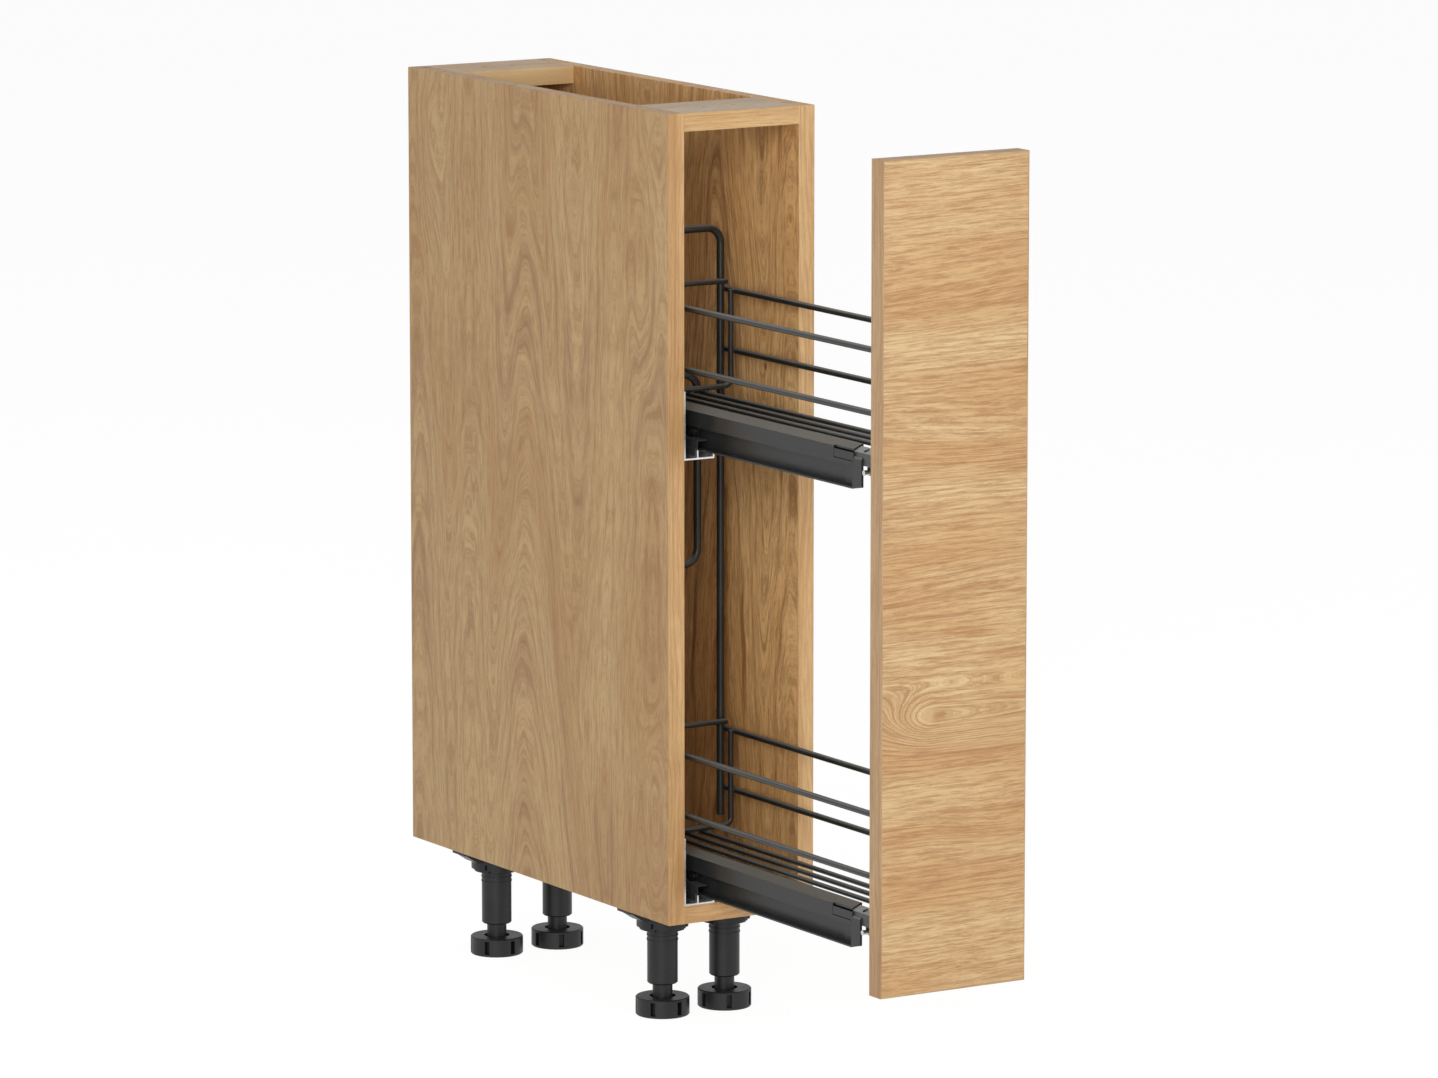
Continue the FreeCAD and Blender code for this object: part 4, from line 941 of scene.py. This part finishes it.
@dataclass
class Runners:
    """The two side runners: brackets, rails, rollers, beams and their small parts."""

    def dress(self, dresser: Dresser) -> None:
        """Puts zinc on the brackets, dark paint on the beams and rails, and plastic on the caps. The coats
        get a painted sheen on faces that point up, and the front brackets a painted shade behind the beams'
        front.

        Args:
            dresser: gives the nodes their materials.
        """
        dresser.dress(ZincFinish("bracket_zinc", srgb(196, 198, 198), srgb(226, 228, 228), metallic=0.75),
                      [f"{level}_runner_bracket" for level in LEVELS])
        # Painted sheen: the lighter colour on the up-facing slopes of the beams and caps, as if lit from
        # above.
        painted_sheen = srgb(116, 114, 109)
        dresser.dress(CoatFinish("beam_coating", srgb(36, 37, 37), srgb(45, 46, 46), gloss=0.34,
                                 fineness=1300.0, specular=0.36, painted_sheen=painted_sheen, sheen_on_slopes_only=True),
                      [f"{level}_beam" for level in LEVELS])
        # The front brackets get a painted sheen on faces that point up, and their part behind the beams'
        # front is painted near black as shade inside the beams.
        beam_front = float(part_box("upper_beam")[0][1])
        dresser.dress(CoatFinish("bracket_coating", srgb(58, 60, 59), srgb(70, 72, 71), gloss=0.35,
                                 fineness=1300.0, specular=0.45, painted_shade_beyond=beam_front,
                                 painted_sheen=srgb(164, 166, 164)),
                      [f"{level}_front_bracket" for level in LEVELS])
        # The middle rails get a painted sheen on faces that point up.
        dresser.dress(CoatFinish("rail_coating", srgb(48, 48, 49), srgb(58, 58, 59), gloss=0.4,
                                 fineness=1300.0, specular=0.4, painted_sheen=srgb(84, 84, 84)),
                      [f"{level}_middle_rail" for level in LEVELS])
        dresser.dress(CoatFinish("roller_plate_coating", srgb(22, 22, 22), srgb(28, 28, 28), gloss=0.5,
                                 specular=0.3), [f"{level}_roller_plate" for level in LEVELS])
        dresser.dress(CoatFinish("cap_plastic", srgb(40, 40, 41), srgb(50, 50, 51), gloss=0.36,
                                 specular=0.36, painted_sheen=painted_sheen, sheen_on_slopes_only=True),
                      [f"{level}_{part}" for level in LEVELS for part in ("beam_end_cap", "rail_glides")]
                      + ["frame_clips"])
        dresser.dress(ZincFinish("roller_steel", srgb(70, 70, 72), srgb(96, 96, 98), 700.0),
                      [f"{level}_{end}_roller" for level in LEVELS for end in ("top", "bottom")])
        dresser.dress(ZincFinish("screw_zinc", srgb(190, 190, 186), srgb(222, 222, 218), 900.0, 1.0),
                      ["runner_screws", "front_screws", "adjuster_screws", "leg_screws", "cam_bolts"])
        dresser.dress(ZincFinish("cam_zinc", srgb(150, 150, 152), srgb(184, 184, 186), 500.0),
                      ["cam_discs"])


@dataclass
class WireWork:
    """The baskets, the tall rear frame and its stay, with their welds and rounded wire ends."""

    rail_radius: float = 0.00275
    floor_radius: float = 0.00225
    bead_radius: float = 0.0019
    end_rise: float = 0.0012
    floor_wires: int = 3

    def dress(self, dresser: Dresser) -> None:
        """Puts dark powder coating with a painted sheen on its upper sides on every wire, and adds the welds
        and the wire ends.

        Args:
            dresser: gives the nodes their materials.
        """
        names = [f"{level}_basket_{part}" for level in LEVELS
                 for part in ("side_rails", "floor_wires", "rear_hoop", "front_hoop")]
        # Painted sheen: the wires' upper sides get a lighter colour, as if lit from above.
        coating = dresser.dress(CoatFinish("wire_coating", srgb(33, 35, 34), srgb(44, 46, 45), gloss=0.32,
                                           fineness=1600.0, specular=0.45, painted_sheen=srgb(104, 106, 104)),
                                names + ["rear_frame", "frame_stay", "basket_cross_wires"])
        for level in LEVELS:
            self.build_welds(level, coating)
            self.build_ends(level, coating)

    def rails(self, level: str) -> tuple[np.ndarray, np.ndarray]:
        """The box of the wires' centre lines of one basket's side rails.

        Args:
            level: upper or lower.

        Returns:
            The lowest and the highest corner.
        """
        low, high = (np.array(corner, float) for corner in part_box(f"{level}_basket_side_rails"))
        inset = np.array([self.rail_radius, 0.0, self.rail_radius])
        return low + inset, high - inset

    def floor(self, level: str) -> tuple[np.ndarray, np.ndarray]:
        """The places across of one basket's floor wires, and the box that holds them.

        Args:
            level: upper or lower.

        Returns:
            The places across, and the lowest and the highest corner as two rows.
        """
        low, high = (np.array(corner, float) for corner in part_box(f"{level}_basket_floor_wires"))
        across = np.linspace(low[0] + self.floor_radius, high[0] - self.floor_radius, self.floor_wires)
        return across, np.array([low, high])

    def build_welds(self, level: str, coating: Material) -> None:
        """Small coated weld beads where each basket's hoops touch its rails and its floor wires.

        Args:
            level: upper or lower.
            coating: the wires' coating.
        """
        low, high = self.rails(level)
        across, box = self.floor(level)
        for end in ("rear", "front"):
            hoop_low, hoop_high = (np.array(c, float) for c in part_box(f"{level}_basket_{end}_hoop"))
            middle = (hoop_low[1] + hoop_high[1]) / 2
            sides = [(x, middle, z) for x in (low[0] + self.rail_radius, high[0] - self.rail_radius)
                     for z in (low[2], high[2])]
            under = [(x, middle, box[1][2]) for x in across]
            add_beads(f"{level}_{end}_hoop_welds", np.array(sides + under), [self.bead_radius] * 3, coating,
                      "pull_out")

    def build_ends(self, level: str, coating: Material) -> None:
        """Low domes on the cut ends of each basket's rails and floor wires.

        Args:
            level: upper or lower.
            coating: the wires' coating.
        """
        low, high = self.rails(level)
        across, box = self.floor(level)
        tips = np.array([(x, y, z) for x in (low[0], high[0]) for z in (low[2], high[2])
                         for y in (low[1], high[1])])
        add_beads(f"{level}_rail_ends", tips, (self.rail_radius, self.end_rise, self.rail_radius), coating,
                  "pull_out")
        height = box[1][2] - self.floor_radius
        tips = np.array([(x, y, height) for x in across for y in (box[0][1], box[1][1])])
        add_beads(f"{level}_floor_wire_ends", tips, (self.floor_radius, self.end_rise, self.floor_radius),
                  coating, "pull_out")


@dataclass
class Legs:
    """The four screw legs."""

    def dress(self, dresser: Dresser) -> None:
        """Puts black moulded plastic on the sockets, sleeves and feet."""
        corners = [f"{row}_{side}" for row in ("front", "rear") for side in ("left", "right")]
        dresser.dress(CoatFinish("leg_plastic", srgb(23, 23, 24), srgb(31, 31, 32), gloss=0.42, specular=0.36,
                                 fineness=1100.0),
                      [f"{corner}_{part}" for corner in corners
                       for part in ("leg_socket", "leg_sleeve", "foot")])


@dataclass
class Studio:
    """The floor, the lamps, the world and the camera."""

    camera_place: tuple[float, float, float] = (-3.58937, -5.88689, 1.57954)
    heading: float = 31.4641
    pitch: float = 9.4527
    lens: float = 197.216
    lens_width: float = 36.0
    view_end: float = 200.0
    sky: float = 0.2
    sky_colour: Colour = (0.97, 0.985, 1.0, 1.0)
    mirror_share: float = 0.75
    floor_half: float = 60.0
    floor_glow: float = 1.14
    floor_share: float = 0.82
    middle: tuple[float, float, float] = (0.0, 0.0, 0.45)

    def build_floor(self) -> None:
        """A wide pale floor that shows white to the camera and keeps a soft shadow."""
        half = self.floor_half
        mesh = bpy.data.meshes.new("studio_floor")
        corners = np.array([(-half, -half, 0), (half, -half, 0), (half, half, 0), (-half, half, 0)], float)
        mesh.from_pydata(corners.tolist(), [], [(0, 1, 2, 3)])
        floor = bpy.data.objects.new("studio_floor", mesh)
        bpy.context.scene.collection.objects.link(floor)
        made, graph, shader, point = new_material("pale_floor")
        graph.feed(shader.inputs["Base Color"], graph.blend(graph.noise(point, 3.0), srgb(236, 236, 236),
                                                            srgb(240, 240, 240)))
        shader.inputs["Roughness"].default_value = 0.9
        shader.inputs["Specular IOR Level"].default_value = 0.1
        glow = graph.add("ShaderNodeEmission")
        glow.inputs["Color"].default_value = WHITE
        glow.inputs["Strength"].default_value = self.floor_glow
        path = graph.add("ShaderNodeLightPath")
        seen = graph.math("MAXIMUM", path.outputs["Is Camera Ray"], path.outputs["Is Glossy Ray"])
        graph.mix(graph.math("MULTIPLY", seen, self.floor_share), shader, glow,
                  made.node_tree.nodes["Material Output"].inputs["Surface"])
        mesh.materials.append(made)

    def build_world(self) -> None:
        """An even pale sky that is white to the camera and in reflections."""
        world = bpy.data.worlds.new("studio_sky")
        world.use_nodes = True
        graph = Graph(world.node_tree)
        back = world.node_tree.nodes["Background"]
        back.inputs["Color"].default_value = self.sky_colour
        back.inputs["Strength"].default_value = self.sky
        white = graph.add("ShaderNodeBackground")
        white.inputs["Color"].default_value = WHITE
        path = graph.add("ShaderNodeLightPath")
        mirrored = graph.math("MAXIMUM", path.outputs["Is Glossy Ray"], path.outputs["Is Transmission Ray"])
        seen = graph.math("MAXIMUM", path.outputs["Is Camera Ray"],
                          graph.math("MULTIPLY", mirrored, self.mirror_share))
        graph.mix(seen, back, white, world.node_tree.nodes["World Output"].inputs["Surface"])
        bpy.context.scene.world = world

    def build_lamp(self, name: str, direction: Sequence[float], far: float, size: float, watts: float,
                   colour: Sequence[float]) -> None:
        """A square soft lamp that faces the cabinet's middle.

        Args:
            name: the lamp's name.
            direction: where it stands, seen from the cabinet's middle.
            far: how far off it stands.
            size: the length of its side.
            watts: its power.
            colour: its colour.
        """
        data = bpy.data.lights.new(name, "AREA")
        data.shape = "SQUARE"
        data.size = size
        data.energy = watts
        data.color = colour
        lamp = bpy.data.objects.new(name, data)
        bpy.context.scene.collection.objects.link(lamp)
        lamp.location = Vector(self.middle) + Vector(direction).normalized() * far
        lamp.rotation_euler = (Vector(self.middle) - lamp.location).to_track_quat("-Z", "Y").to_euler()

    def build_camera(self) -> None:
        """The camera of the photograph."""
        data = bpy.data.cameras.new("photo_camera")
        data.sensor_fit = "HORIZONTAL"
        data.sensor_width = self.lens_width
        data.lens = self.lens
        data.clip_end = self.view_end
        camera = bpy.data.objects.new("photo_camera", data)
        bpy.context.scene.collection.objects.link(camera)
        camera.location = self.camera_place
        camera.rotation_euler = (math.radians(90 - self.pitch), 0.0, -math.radians(self.heading))
        bpy.context.scene.camera = camera

    def build(self) -> None:
        """Sets up everything round the object."""
        self.build_floor()
        self.build_world()
        for lamp in (
                ("left_key", (-0.8, -1.0, 0.34), 5.0, 2.4, 136.0, (1.0, 0.99, 0.965)),
                ("right_key", (0.6, -1.0, 0.22), 5.0, 2.2, 42.0, (1.0, 0.98, 0.95)),
                ("left_fill", (-1.0, -0.2, 0.3), 4.5, 3.0, 20.0, (0.94, 1.0, 1.08)),
                ("top_soft", (-0.15, 0.1, 1.0), 4.5, 3.2, 40.0, (0.98, 1.0, 1.02))):
            self.build_lamp(*lamp)
        self.build_camera()
        bpy.context.scene.view_settings.view_transform = "Standard"
        LOG.info("studio ready")


def main() -> None:
    """Builds the studio and dresses each part of the cabinet in order."""
    logging.basicConfig(level=logging.INFO, format="%(message)s")
    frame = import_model()
    dresser = Dresser(frame["nodes"])
    Studio().build()
    for piece in (Carcass(), Front(), Runners(), WireWork(), Legs()):
        piece.dress(dresser)
        LOG.info("%s dressed", type(piece).__name__)


if __name__ == "__main__":
    main()
